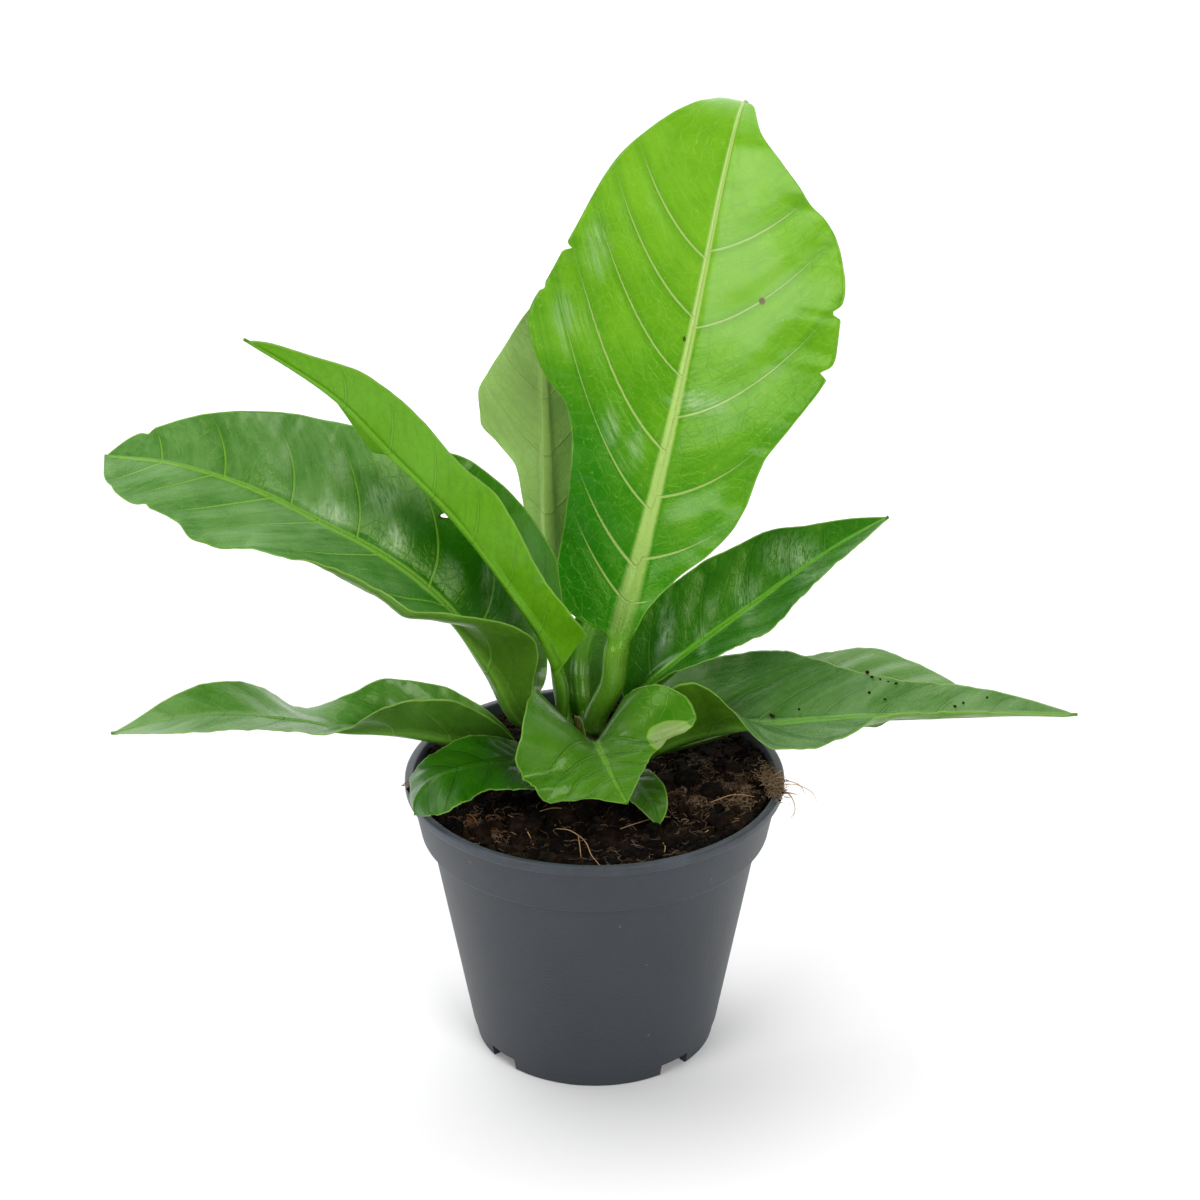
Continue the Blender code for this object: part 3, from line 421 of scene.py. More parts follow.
class Finish:
    """A material with one Principled shader, and the nodes that feed it."""

    def __init__(self, name, **constants):
        self.material = bpy.data.materials.new(name)
        self.material.use_nodes = True
        self.nodes = self.material.node_tree.nodes
        self.shader = self.nodes["Principled BSDF"]
        for socket, value in constants.items():
            self.shader.inputs[socket.replace("_", " ")].default_value = value

    def put(self, socket, value):
        """Give a socket a link or a plain value."""
        if isinstance(value, Flow):
            self.material.node_tree.links.new(value.socket, socket)
        elif socket.type == "RGBA":
            socket.default_value = (*value, 1)[:4]
        else:
            socket.default_value = value

    def node(self, kind, settings=(), values=(), output=0):
        """Add a node: its settings first, then its sockets."""
        made = self.nodes.new(kind)
        for key, value in dict(settings).items():
            setattr(made, key, value)
        for key, value in dict(values).items():
            self.put(made.inputs[key], value)
        return Flow(self, made.outputs[output])

    def math(self, operation, *values):
        """One Math node."""
        return self.node("ShaderNodeMath", {"operation": operation}, dict(enumerate(values)))

    def grade(self, value, low, high, start=0.0, end=1.0):
        """A soft step from start to end as the value goes from low to high."""
        return self.node("ShaderNodeMapRange", {"interpolation_type": "SMOOTHSTEP"},
                         {0: value, 1: low, 2: high, 3: start, 4: end})

    def blend(self, factor, first, second):
        """A colour between two."""
        return self.node("ShaderNodeMix", {"data_type": "RGBA"},
                         {0: factor, 6: first, 7: second}, 2)

    def held(self, name):
        """A number held by the mesh's points."""
        return self.node("ShaderNodeAttribute", {"attribute_name": name}, output="Fac")

    def place(self):
        """The point's own place on the object, in metres."""
        return self.node("ShaderNodeTexCoord", output="Object")

    def grain(self, vector, scale, detail=4.0, roughness=0.55):
        """Cloudy noise from 0 to 1."""
        return self.node("ShaderNodeTexNoise", {}, {"Vector": vector, "Scale": scale,
                                                    "Detail": detail, "Roughness": roughness})

    def vector(self, x, y, z):
        """A vector from three numbers."""
        return self.node("ShaderNodeCombineXYZ", {}, {0: x, 1: y, 2: z})

    def away(self, vector, centre, size):
        """How far a place is from a centre, 1 on the ellipsoid of the given size in mm."""
        for operation, other in (("SUBTRACT", centre), ("DIVIDE", size)):
            vector = self.node("ShaderNodeVectorMath", {"operation": operation},
                               {0: vector, 1: scaled(MM, other)})
        return self.node("ShaderNodeVectorMath", {"operation": "LENGTH"}, {0: vector}, "Value")

    def split(self, vector, part):
        """One of a vector's three numbers."""
        return self.node("ShaderNodeSeparateXYZ", {}, {0: vector}, part)

    def bump(self, height, distance, strength):
        """Feed a height, in units of distance in metres, to the shader's normal."""
        normal = self.node("ShaderNodeBump", {}, {"Height": height, "Distance": distance,
                                                  "Strength": strength})
        self.put(self.shader.inputs["Normal"], normal)

    def paint(self, **sockets):
        """Link flows to the shader's sockets."""
        for socket, value in sockets.items():
            self.put(self.shader.inputs[socket.replace("_", " ")], value)


def scaled(factor, values):
    """A colour or a vector times a number."""
    return [factor * v for v in values]


def leaf_finish(name, look, start, options):
    """Leathery leaf: pale midrib, side veins and margin, and a duller underside."""
    m = Finish(name, Specular_IOR_Level=0.34, Specular_Tint=(0.65, 1, 0.2, 1), Coat_Roughness=0.16)
    across, phase, pitch, rib, edge, under, blade, inside, along = (m.held(name) for name in (
        "across", "phase", "pitch", "rib", "edge", "under", "blade", "veined", "along"))
    place = m.place()

    # Side veins: a thin pale line with a soft darker bed on either side.
    gap = abs(m.math("FRACT", phase + 0.5) - 0.5) * pitch
    fade = m.grade(across, 1.0, 0.2)
    line = m.grade(gap / (VEIN_WIDTH + fade * VEIN_WIDENING), 1.5, 0.6)
    line = line * inside * m.grade(across, 0.97, 0.6)
    bed = m.grade(gap, VEIN_BED, 0.5) * inside
    streak = m.grain(m.vector(phase * 5, across * 2.2, 0), 1.6, 5.0, 0.6)
    fine = m.grain(m.vector(phase * 16, across * 5, 3), 2.0, 3.0, 0.6)
    patch = m.grain(place, 30.0, 3.0, 0.5)
    blister = m.grain(place, 95.0, 3.0, 0.5)
    speck = m.grain(place, 900.0, 2.0, 0.5)
    cells = m.node("ShaderNodeTexVoronoi", {"feature": "DISTANCE_TO_EDGE"},
                   {"Vector": place, "Scale": 260.0})
    net = m.grade(cells, 0.09, 0.0)

    rise = look.get("rise", 0.25)
    tone = m.grade(patch * 0.5 + streak * 0.35 + blister * 0.3, 0.42, 0.74) * (1 - rise)
    tone = tone + m.grade(along, start, 0.8) * rise
    green = m.blend(tone, look["dark"], look["light"])
    green = m.blend(m.grade(fine, 0.45, 0.75) * 0.3, green, look["light"])
    # Painted shade: the leaf's dark green laid over given places where it lies in shade.
    for centre, size, strength in look.get("painted_shades", []):
        shade = m.grade(m.away(place, centre, size), 1.0, 0.3) * strength
        green = m.blend(shade, green, look["dark"])
    coat = m.grade(patch, 0.42, 0.62) * 0.28 + 0.1
    # Painted highlights: pale grey-green streaks at given places, with a heavier coat there.
    for centre, size in look.get("painted_highlights", []):
        highlight = m.grade(m.away(place, centre, size), 1.0, 0.2) * m.grade(streak + fine, 0.78, 1.22)
        green = m.blend(highlight * 0.55, green, PAINTED_HIGHLIGHT)
        coat = coat + highlight * 0.25
    green = m.blend(net * 0.05, green, look["rib"])
    green = m.blend(bed * 0.25, green, look["dark"])
    green = m.blend(line * (0.8 * look["vein"] * options.vein_strength), green, look["rib"])
    low = m.blend(m.grade(streak * 0.5 + patch * 0.5, 0.35, 0.65),
                  scaled(0.78, look["under"]), look["under"])
    low = m.blend(net * 0.2, low, scaled(0.6, look["under"]))
    low = m.blend(line * 0.4, low, look["rib"])
    body = m.blend(under, green, low)
    stalk = look.get("stalk", STALK)
    stalk = m.blend(m.grade(patch, 0.35, 0.65), stalk, scaled(2.2, stalk))
    stalk = m.blend(m.grade(fine, 0.4, 0.7) * 0.3, stalk, look["rib"])
    body = m.blend(blade, stalk, body)
    # Painted shade near the stem, partly the stalks' own older, darker green.
    stalk_shade = m.grade(m.away(place, SHADE_CENTRE, SHADE_SIZE), 1.1, 0.3)
    body = m.blend(stalk_shade * 0.6, body, SHADED_STALK_GREEN)
    pale = m.blend(m.grade(along, start - 0.05, start + 0.22), stalk, look["rib"])
    middle = m.grade(rib + streak * 0.3, 1.3, 0.75) * m.grade(blade, 0.3, 1.0)
    body = m.blend(middle * (0.9 - under * 0.4), body, pale)
    margin = m.grade(edge + fine * 0.3, 0.75, 0.35) * m.grade(blade, 0.5, 1.0)
    body = m.blend(margin * 0.7, body, MARGIN)
    body = m.blend(m.grade(speck, 0.62, 0.75) * 0.2, body, look["rib"])

    for centre, size, colour in look.get("spots", []):
        away = m.away(place, centre, size) + (blister - 0.5) * 0.5
        body = m.blend(m.grade(away, 1.1, 0.9), body, colour)
        rim = m.grade(abs(away - 1), 0.12, 0.04) * look.get("spot_edge", 0)
        body = m.blend(rim, body, MARGIN)
    # Whitish patches, partly dust and partly a painted highlight.
    for centre, size in look.get("dust_and_highlights", []):
        worn_and_highlit = m.grade(m.away(place, centre, size), 1.0, 0.2) * m.grade(streak, 0.4, 0.7)
        body = m.blend(worn_and_highlit * 0.35, body, DUST_AND_HIGHLIGHT)
    for centre, size in look.get("holes", []):
        away = m.away(place, centre, size) + (blister - 0.5) * 1.2
        body = m.blend(m.grade(away, 1.4, 1.1), body, HOLE_EDGE)
        m.paint(Alpha=m.grade(away, 0.9, 1.0))

    rough = 0.2 + m.grade(patch, 0.35, 0.7) * 0.14 + under * 0.25 + fine * 0.05 + net * 0.03
    m.paint(Base_Color=body, Roughness=rough, Coat_Weight=coat)
    height = (line * (under * 2 - 1) * 0.45 + middle * 0.3 + streak * 0.25 + blister * 0.7
              + fine * 0.12 + speck * 0.05 - net * 0.06)
    m.bump(height, LEAF_RELIEF, 0.8)
    m.material.diffuse_color = (*look["light"], 1)
    return m.material


def pot_finish(options):
    """Moulded blue-grey plastic, faintly mottled and dusty."""
    m = Finish("pot plastic", Specular_IOR_Level=0.45)
    place = m.place()
    cloud = m.grain(place, 30.0, 5.0, 0.6)
    speck = m.grain(place, 1500.0, 2.0, 0.6)
    height = m.split(place, 2)
    rings = m.grain(m.vector(0, 0, height), 2600.0, 2.0, 0.5)
    spun = m.grain(m.vector(m.split(place, 0) * 40, height * 4000, 0), 1.0, 3.0, 0.5)
    base = tuple(options.pot_colour)
    body = m.blend(m.grade(cloud, 0.3, 0.7), scaled(0.88, base), scaled(1.14, base))
    body = m.blend(m.grade(speck, 0.6, 0.78) * 0.35, body, scaled(2.4, base))
    body = m.blend(m.grade(speck, 0.38, 0.26) * 0.4, body, scaled(0.5, base))
    crumbs = {"Vector": place, "Scale": 110.0}
    apart = m.node("ShaderNodeTexVoronoi", {}, crumbs, "Distance")
    lot = m.split(m.node("ShaderNodeTexVoronoi", {}, crumbs, "Color"), 0)
    body = m.blend(m.grade(apart, 0.07, 0.045) * m.grade(lot, 0.7, 0.72), body, SOIL_SPECK)
    # Lighter plastic on the lip and ledge: partly wear, partly a painted highlight.
    worn_and_highlit = m.held("worn_and_highlit")
    body = m.blend(worn_and_highlit * m.grade(cloud, 0.3, 0.7), body, scaled(2.3, base))
    m.paint(Base_Color=body, Roughness=0.4 + cloud * 0.16 + rings * 0.04 - worn_and_highlit * 0.06)
    m.bump(speck * 0.6 + spun * 0.15 + cloud * 0.5, POT_RELIEF, 0.8)
    return m.material


def soil_finish(name, dark, light):
    """Damp peat: near black with brown crumbs."""
    m = Finish(name, Specular_IOR_Level=0.08)
    place = m.place()
    shade = m.held("shade")
    cloud = m.grain(place, 120.0, 6.0, 0.65)
    crumb = m.grain(place, 700.0, 4.0, 0.7)
    body = m.blend(m.grade(cloud, 0.42, 0.68), dark, light)
    body = m.blend(m.grade(crumb, 0.55, 0.8) * 0.5, body, scaled(2.6, light))
    body = m.blend(m.grade(shade * 0.7 + crumb * 0.5, 0.4, 0.95), body, scaled(4.6, light))
    m.paint(Base_Color=body, Roughness=0.82 + crumb * 0.15)
    m.bump(crumb + cloud * 0.6, SOIL_RELIEF, 0.9)
    return m.material


def fibre_finish(name, dark, light):
    """Dry peat fibre and root."""
    m = Finish(name, Specular_IOR_Level=0.5)
    shade = m.held("shade")
    cloud = m.grain(m.place(), 300.0, 3.0, 0.6)
    body = m.blend(m.grade(shade * 0.7 + cloud * 0.3, 0.1, 0.8), dark, light)
    m.paint(Base_Color=body, Roughness=0.6 + cloud * 0.3)
    return m.material


def piece(name, points, faces, finish, attributes=()):
    """A mesh object from points in millimetres."""
    mesh = bpy.data.meshes.new(name)
    points = np.asarray(points, float) * MM
    mesh.from_pydata(points.tolist(), [], faces)
    for key, values in dict(attributes).items():
        held = mesh.attributes.new(key, "FLOAT", "POINT")
        held.data.foreach_set("value", np.asarray(values, np.float32).ravel())
    made = bpy.data.objects.new(name, mesh)
    bpy.context.scene.collection.objects.link(made)
    mesh.materials.append(finish)
    mesh.shade_smooth()
    return made


def stands_for(made, slot, *nodes):
    """Ride with the object and replace solids; the slot is not used."""
    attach(made, "root")
    if nodes:
        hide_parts(*nodes)


def polar(radius, angle):
    """The x and y of a place at a radius and an angle."""
    return radius * math.cos(angle), radius * math.sin(angle)


def ring_faces(rings, sides, over=False):
    """Four-sided faces between rings of points; over turns them the other way round."""
    faces = []
    for k in range(rings - 1):
        for i in range(sides):
            a, b = k * sides + i, k * sides + (i + 1) % sides
            faces.append((a, a + sides, b + sides, b) if over else (a, b, b + sides, a + sides))
    return faces


def smooth(points, at):
    """The value at `at` on a curve through (place, value) points that never overshoots."""
    place, value = np.array(points, float).T
    at = np.asarray(at, float)
    if len(place) == 1:
        return np.full(at.shape, value[0])
    step = np.diff(place)
    rise = np.diff(value) / step
    slope = np.zeros(len(place))
    slope[0], slope[-1] = rise[0], rise[-1]
    for i in range(1, len(place) - 1):
        if rise[i - 1] * rise[i] > 0:
            near, far = 2 * step[i] + step[i - 1], step[i] + 2 * step[i - 1]
            slope[i] = (near + far) / (near / rise[i - 1] + far / rise[i])
    k = np.clip(np.searchsorted(place, at, side="right") - 1, 0, len(step) - 1)
    s = np.clip((at - place[k]) / step[k], 0, 1)
    return (value[k] * (1 + 2 * s) * (1 - s) ** 2 + slope[k] * step[k] * s * (1 - s) ** 2
            + value[k + 1] * s * s * (3 - 2 * s) + slope[k + 1] * step[k] * s * s * (s - 1))


def spline(points):
    """A smooth curve through 3-D points: its samples and their places from 0 to 1."""
    p = np.array(points, float)
    p = np.vstack([2 * p[0] - p[1], p, 2 * p[-1] - p[-2]])
    k = np.concatenate([[0], np.cumsum(np.linalg.norm(np.diff(p, axis=0), axis=1) ** 0.5)])
    spans = []
    for i in range(1, len(p) - 2):
        u = np.linspace(k[i], k[i + 1], SPAN_STEPS, endpoint=i == len(p) - 3)[:, None]

        def blend(a, b, low, high):
            """The straight mix of a and b as u runs from low to high."""
            return (k[high] - u) / (k[high] - k[low]) * a + (u - k[low]) / (k[high] - k[low]) * b

        a1 = blend(p[i - 1], p[i], i - 1, i)
        a2 = blend(p[i], p[i + 1], i, i + 1)
        a3 = blend(p[i + 1], p[i + 2], i + 1, i + 2)
        b1 = blend(a1, a2, i - 1, i + 1)
        b2 = blend(a2, a3, i, i + 2)
        spans.append(blend(b1, b2, i, i + 1))
    curve = np.vstack(spans)
    place = np.concatenate([[0], np.cumsum(np.linalg.norm(np.diff(curve, axis=0), axis=1))])
    return curve, place / place[-1], place[-1]


def midrib(leaf):
    """The midrib's curve, its places and its length, from the stem outwards."""
    az, el = (math.radians(v) for v in leaf["start"])
    out = np.array((math.cos(el) * math.cos(az), math.cos(el) * math.sin(az), math.sin(el)))
    first = [CROWN + out * (CROWN_RADIUS + STALK_GAP + step) for step in (0, STALK_LEAD)]
    return spline(first + leaf["rib"])


def frames(leaf, t):
    """Midrib points, with the directions along, to the left and up at each place t."""
    curve, place, _ = midrib(leaf)

    def at(q):
        """The midrib point at place q."""
        return np.stack([np.interp(q, place, curve[:, i]) for i in range(3)], -1)

    along = at(np.clip(t + TANGENT_STEP, 0, 1)) - at(np.clip(t - TANGENT_STEP, 0, 1))
    along /= np.linalg.norm(along, axis=-1, keepdims=True)
    h = math.radians(leaf["heading"])
    level = np.array([-math.sin(h), math.cos(h), 0.0])
    left = level - (along @ level)[..., None] * along
    left /= np.linalg.norm(left, axis=-1, keepdims=True)
    return at(t), along, left, np.cross(along, left)


def half_width(leaf, look, t, side):
    """A half's width, with its small nicks and lobes."""
    width = smooth(leaf[HALVES[side]]["width"], t)
    for where, place, depth, breadth in look.get("nicks", []):
        if where == side:
            past = (t - place) / breadth
            steep = np.where(past > 0, 1, 6)
            width = width - depth * np.exp(-steep * past * past)
    return np.maximum(width, 0)


def blade_point(leaf, look, t, f, side):
    """The upper surface and its normal at fraction f of the way from midrib to edge."""
    middle, along, left, up = frames(leaf, t)
    half = leaf[HALVES[side]]
    width = half_width(leaf, look, t, side)
    lift = np.radians(smooth(half["lift"], t))
    curl = np.radians(smooth(half.get("curl", [(0, 0)]), t))
    turn = half.get("turn", 1)
    reach = f * width
    part = (np.arange(ARC_STEPS) + 0.5) / ARC_STEPS
    angles = lift[..., None] + curl[..., None] * (f[..., None] * part) ** turn
    x = reach * np.cos(angles).mean(-1)
    y = reach * np.sin(angles).mean(-1)
    angle = lift + curl * f ** turn
    height, count, phase = half.get("wave", (0, 1, 0))
    start = half["width"][0][0]
    run = np.clip((t - start) / (1 - start), 0, 1)
    full = np.sin(math.pi * run) ** 0.5 * np.clip(width / 12, 0, 1)
    wave = height * f ** 2 * np.sin(2 * math.pi * count * run + math.radians(phase))
    ripple = sum(share * np.sin(rate * t + shift * side) for rate, shift, share in RIPPLES)
    wave = (wave + look["ruffle"] * 0.45 * f ** 4 * ripple) * full
    x = x - wave * np.sin(angle)
    y = y + wave * np.cos(angle)
    sweep = smooth(half.get("sweep", [(0, 0)]), t) * reach
    point = middle + side * left * x[..., None] + up * y[..., None] + along * sweep[..., None]
    normal = up * np.cos(angle)[..., None] - side * left * np.sin(angle)[..., None]
    return point, normal


def add_leaf(name, leaf, look, options):
    """A fine leaf: a round stalk that opens into a thin blade with a ribbed middle."""
    length = midrib(leaf)[2]
    count = max(LEAST_ROWS, int(length * options.leaf_detail))
    t = np.linspace(0, 1, count) ** ROW_CROWDING
    radius = smooth(leaf["stalk"], t)
    columns = len(RIB_COLUMNS) + BLADE_COLUMNS
    points, held = {}, {}
    for side, key in HALVES.items():
        width = half_width(leaf, look, t, side)
        safe = np.maximum(width, 0.01)
        near = [np.minimum(radius * k, safe * j) for k, j in RIB_COLUMNS]
        q = (np.arange(1, BLADE_COLUMNS + 1) / BLADE_COLUMNS)[:, None]
        q = 1 - (1 - q) ** COLUMN_CROWDING
        reach = np.vstack([near, near[-1] + (safe - near[-1]) * q])
        grow = np.clip(width / (2.2 * radius), 0, 1)
        grow = grow * grow * (3 - 2 * grow)
        tt = np.broadcast_to(t, reach.shape)
        starts, slope, bend = look.get("veins") or look[key]
        f = reach / safe
        steps = np.diff(starts)
        marks = np.concatenate([[starts[0] - steps[0]], starts, [starts[-1] + steps[-1]]])
        origin = tt - (slope * reach + bend * reach ** 2) / length
        phase = np.interp(origin, marks, np.arange(-1, len(starts) + 1))
        spacing = np.interp(origin, starts[1:], steps) * length
        pitch = spacing / np.sqrt(1 + (slope + 2 * bend * reach) ** 2)
        veined = (np.clip((phase + 0.6) * 4, 0, 1)
                  * np.clip((len(starts) - 0.4 - phase) * 4, 0, 1))
        point, normal = blade_point(leaf, look, tt, f, side)
        swell = -0.5 * np.cos(2 * math.pi * phase) * np.sin(math.pi * np.clip(f, 0, 1))
        swell = swell * veined * options.pucker * look.get("swell", 1)
        point = point + normal * (swell * np.minimum(1, safe / 20))[..., None]
        ridge = RIDGE_HEIGHT * radius * np.clip(1 - (reach / radius / RIDGE_REACH) ** 2, 0, 1)
        keel = np.clip(1 - (reach / radius / KEEL_REACH) ** 2, 0, 1) ** 0.7
        keel = KEEL_DEPTH * radius * keel
        rim = np.clip((1 - f) * safe / 0.5, 0, 1) ** 0.5
        thick = BLADE_THICKNESS * (0.45 + 0.55 * rim)
        for k in range(columns):
            lean = np.clip(1 - (reach[k] / radius) ** 2, 0, 1)
            top = point[k] + normal[k] * (ridge[k] * (1 - lean * 0.5))[:, None]
            low = point[k] - normal[k] * (thick[k] + keel[k])[:, None]
            points[side * (k + 1)] = (top, low, grow)
            held[side * (k + 1)] = dict(across=f[k], phase=phase[k], veined=veined[k] * grow,
                                        pitch=pitch[k], rib=reach[k] / radius,
                                        edge=(1 - f[k]) * safe, blade=grow, along=t)
    middle, _, left, up = frames(leaf, t)
    both = (points[1][2] + points[-1][2]) / 2
    points[0] = (middle + up * (0.45 * radius)[:, None],
                 middle - up * np.maximum(0.98 * radius, BLADE_THICKNESS)[:, None], both)
    held[0] = {**held[1], "rib": np.zeros(count), "across": np.zeros(count), "blade": both}
    order = list(range(columns, -columns - 1, -1))
    keys = order + order[::-1]
    around = len(keys)
    rings = []
    for i, key in enumerate(keys):
        turn = (i + 0.5) / around * 2 * math.pi
        circle = middle + radius[:, None] * (math.cos(turn) * left + math.sin(turn) * up)
        g = points[key][2][:, None]
        rings.append((1 - g) * circle + g * points[key][0 if i < len(order) else 1])
    grid = np.stack(rings, 1)
    faces = ring_faces(count, around)
    faces.append(tuple(range(around)))
    faces.append(tuple((count - 1) * around + j for j in reversed(range(around))))
    attributes = {key: np.stack([held[k][key] for k in keys], 1) for key in held[0]}
    attributes["under"] = np.broadcast_to(np.arange(around) >= len(order), (count, around))
    finish = leaf_finish(name + " leaf", look, leaf["left"]["width"][0][0], options)
    made = piece(name + "_fine", grid.reshape(-1, 3), faces, finish, attributes)
    work = bmesh.new()
    work.from_mesh(made.data)
    bmesh.ops.recalc_face_normals(work, faces=work.faces)
    work.to_mesh(made.data)
    work.free()
    return made


def turned(name, profile, steps, finish):
    """A turned piece from a profile of (radius, height) points."""
    made = piece(name, [(r, 0, z) for r, z in profile], [], finish)
    edges = bmesh.new()
    edges.from_mesh(made.data)
    edges.verts.ensure_lookup_table()
    for i, (radius, _) in enumerate(profile):
        if radius > 0 or profile[i - 1][0] > 0:
            edges.edges.new((edges.verts[i - 1], edges.verts[i]))
    edges.to_mesh(made.data)
    edges.free()
    screw = made.modifiers.new("Turn", "SCREW")
    screw.angle = 2 * math.pi
    screw.steps = steps
    screw.render_steps = steps
    screw.use_merge_vertices = True
    screw.merge_threshold = 0.00001
    return made


def eased(profile, radius):
    """A profile with each corner rounded by a short arc of about the given radius."""
    out = []
    for i, corner in enumerate(profile):
        before, after = profile[i - 1], profile[(i + 1) % len(profile)]
        p, a, b = (np.array(v, float) for v in (corner, before, after))
        if corner[0] == 0:
            out.append(corner)
            continue
        reach = min(radius, 0.4 * np.linalg.norm(a - p), 0.4 * np.linalg.norm(b - p))
        start = p + (a - p) / np.linalg.norm(a - p) * reach
        end = p + (b - p) / np.linalg.norm(b - p) * reach
        for s in (0, 0.25, 0.5, 0.75, 1):
            out.append(tuple((1 - s) ** 2 * start + 2 * s * (1 - s) * p + s * s * end))
    return out


def wall_radius(z):
    """The outer radius of the pot's wall below the band."""
    return BASE_RADIUS + (WALL_TOP_RADIUS - BASE_RADIUS) * z / BAND_BOTTOM_Z


def pot_profile():
    """The pot's whole section: down the outside, under the base and up the inside."""
    channel = BASE_RADIUS - FOOT_WIDTH
    floor = CHANNEL_HEIGHT + WALL
    band_in = BAND_BOTTOM_RADIUS - WALL
    lip_z = POT_HEIGHT - LIP_DEPTH
    slope = (RIM_RADIUS - LIP_STEP - BAND_BOTTOM_RADIUS) / (lip_z - BAND_BOTTOM_Z)
    ledge = BAND_BOTTOM_Z + WALL
    outside = [(RIM_RADIUS, POT_HEIGHT), (RIM_RADIUS, lip_z), (RIM_RADIUS - LIP_STEP, lip_z),
               (BAND_BOTTOM_RADIUS, BAND_BOTTOM_Z), (WALL_TOP_RADIUS, BAND_BOTTOM_Z),
               (wall_radius(FOOT_HEIGHT), FOOT_HEIGHT),
               (wall_radius(FOOT_HEIGHT) - FOOT_STEP, FOOT_HEIGHT),
               (BASE_RADIUS - FOOT_STEP, 0), (channel, 0), (channel - 0.5, CHANNEL_HEIGHT),
               (BASE_PAD_RADIUS + 0.5, CHANNEL_HEIGHT), (BASE_PAD_RADIUS, 0), (0, 0)]
    inside = [(0, WALL), (BASE_PAD_RADIUS - WALL - 0.5, WALL), (BASE_PAD_RADIUS - WALL, floor),
              (wall_radius(floor) - WALL, floor), (wall_radius(ledge) - WALL, ledge),
              (band_in + slope * (ledge - BAND_BOTTOM_Z), ledge),
              (band_in + slope * (POT_HEIGHT - BAND_BOTTOM_Z), POT_HEIGHT)]
    return outside + inside


def add_pot(options):
    """The pot with its rounded lip, band, foot, notches and drain holes."""
    made = turned("pot_fine", eased(pot_profile(), CORNER_RADIUS), POT_STEPS, pot_finish(options))
    tools = []
    for i in range(NOTCH_COUNT):
        angle = math.radians(NOTCH_FIRST_ANGLE + 360 / NOTCH_COUNT * i)
        bpy.ops.mesh.primitive_cube_add(size=1, rotation=(0, 0, angle),
                                        location=(*polar(BASE_RADIUS * MM, angle), 0))
        tools.append(bpy.context.object)
        tools[-1].scale = (2 * NOTCH_REACH * MM, NOTCH_WIDTH * MM, 2 * NOTCH_HEIGHT * MM)
    for i in range(DRAIN_COUNT):
        angle = math.radians(DRAIN_FIRST_ANGLE + 360 / DRAIN_COUNT * i)
        bpy.ops.mesh.primitive_cylinder_add(
            vertices=24, radius=DRAIN_RADIUS * MM, depth=DRAIN_CUT * MM,
            location=(*polar(DRAIN_RING_RADIUS * MM, angle), CHANNEL_HEIGHT * MM))
        tools.append(bpy.context.object)
    for tool in tools:
        boolean = made.modifiers.new("Cut", "BOOLEAN")
        boolean.object = tool
        boolean.solver = "EXACT"
    graph = bpy.context.evaluated_depsgraph_get()
    shape = bpy.data.meshes.new_from_object(made.evaluated_get(graph))
    made.modifiers.clear()
    made.data = shape
    for tool in tools:
        bpy.data.objects.remove(tool, do_unlink=True)
    shape.shade_smooth()
    shape.set_sharp_from_angle(angle=math.radians(35))
    radius = np.array([math.hypot(v.co.x, v.co.y) / MM for v in shape.vertices])
    height = np.array([v.co.z / MM for v in shape.vertices])

    def near(values, line):
        """1 on a line, 0 from about half a millimetre away."""
        return np.exp(-((values - line) / 0.5) ** 2)

    # Where the plastic is painted lighter: the lip, the rim's top and the band's ledge, partly wear
    # and partly a painted highlight.
    ledge = near(height, BAND_BOTTOM_Z) * (radius > BAND_BOTTOM_RADIUS - 1.2)
    edges = np.clip(near(radius, RIM_RADIUS) + near(height, POT_HEIGHT) + ledge, 0, 1)
    worn_and_highlit = shape.attributes.new("worn_and_highlit", "FLOAT", "POINT")
    worn_and_highlit.data.foreach_set("value", edges.astype(np.float32))
    stands_for(made, "pot_plastic", "pot")


def soil_height(x, y):
    """The height of the soil's surface: low by the stem, heaped to one side, and lumpy."""
    r = math.hypot(x, y) / RIM_RADIUS
    toward = math.cos(math.atan2(y, x) - math.radians(SOIL_HEAP_ANGLE))
    heap = SOIL_HEAP * r * r * (0.8 + 0.2 * toward)
    lumps = math.sin(0.29 * x + 1) * math.cos(0.25 * y) + 0.6 * math.sin(0.5 * x - 0.41 * y)
    return SOIL_LEVEL + heap + 0.55 * lumps * min(1.0, 4 * (1 - r))


def soil_surface(x, y):
    """The soil's height with its crumbly detail."""
    here = Vector((x, y, 0))
    coarse = noise.fractal(here * 0.12, 0.9, 2.1, 4)
    lump = noise.noise(here * 0.45 + Vector((7, 3, 1)))
    crumb = noise.noise(here * 1.3 + Vector((1, 9, 4)))
    heap = 1.2 * heap_of_fibre(x, y)
    return soil_height(x, y) + 0.9 * coarse + 0.9 * abs(lump) + 0.6 * crumb + heap


def add_soil(options):
    """The soil's crumbly surface and the body of soil under it."""
    finish = soil_finish("soil", (0.0018, 0.0012, 0.0008), tuple(options.soil_colour))
    angles = [2 * math.pi * i / SOIL_SIDES for i in range(SOIL_SIDES)]
    points, shade = [], []
    for k in range(SOIL_RINGS + 1):
        for a in angles:
            x, y = polar(SOIL_EDGE_RADIUS * (k + 0.02) / (SOIL_RINGS + 0.02), a)
            points.append((x, y, soil_surface(x, y)))
            patch = noise.noise(Vector((x, y, 5)) * 0.09)
            shade.append(max(0, 0.4 * patch + heap_of_fibre(x, y)))
    points += [(*polar(radius, a), z) for radius, z in SOIL_UNDER for a in angles]
    shade += [0] * (len(points) - len(shade))
    faces = ring_faces(len(points) // SOIL_SIDES, SOIL_SIDES, over=True)
    faces.append(tuple(range(SOIL_SIDES)))
    faces.append(tuple(reversed(range(len(points) - SOIL_SIDES, len(points)))))
    made = piece("soil_fine", points, faces, finish, {"shade": shade})
    stands_for(made, "potting_soil", "soil")


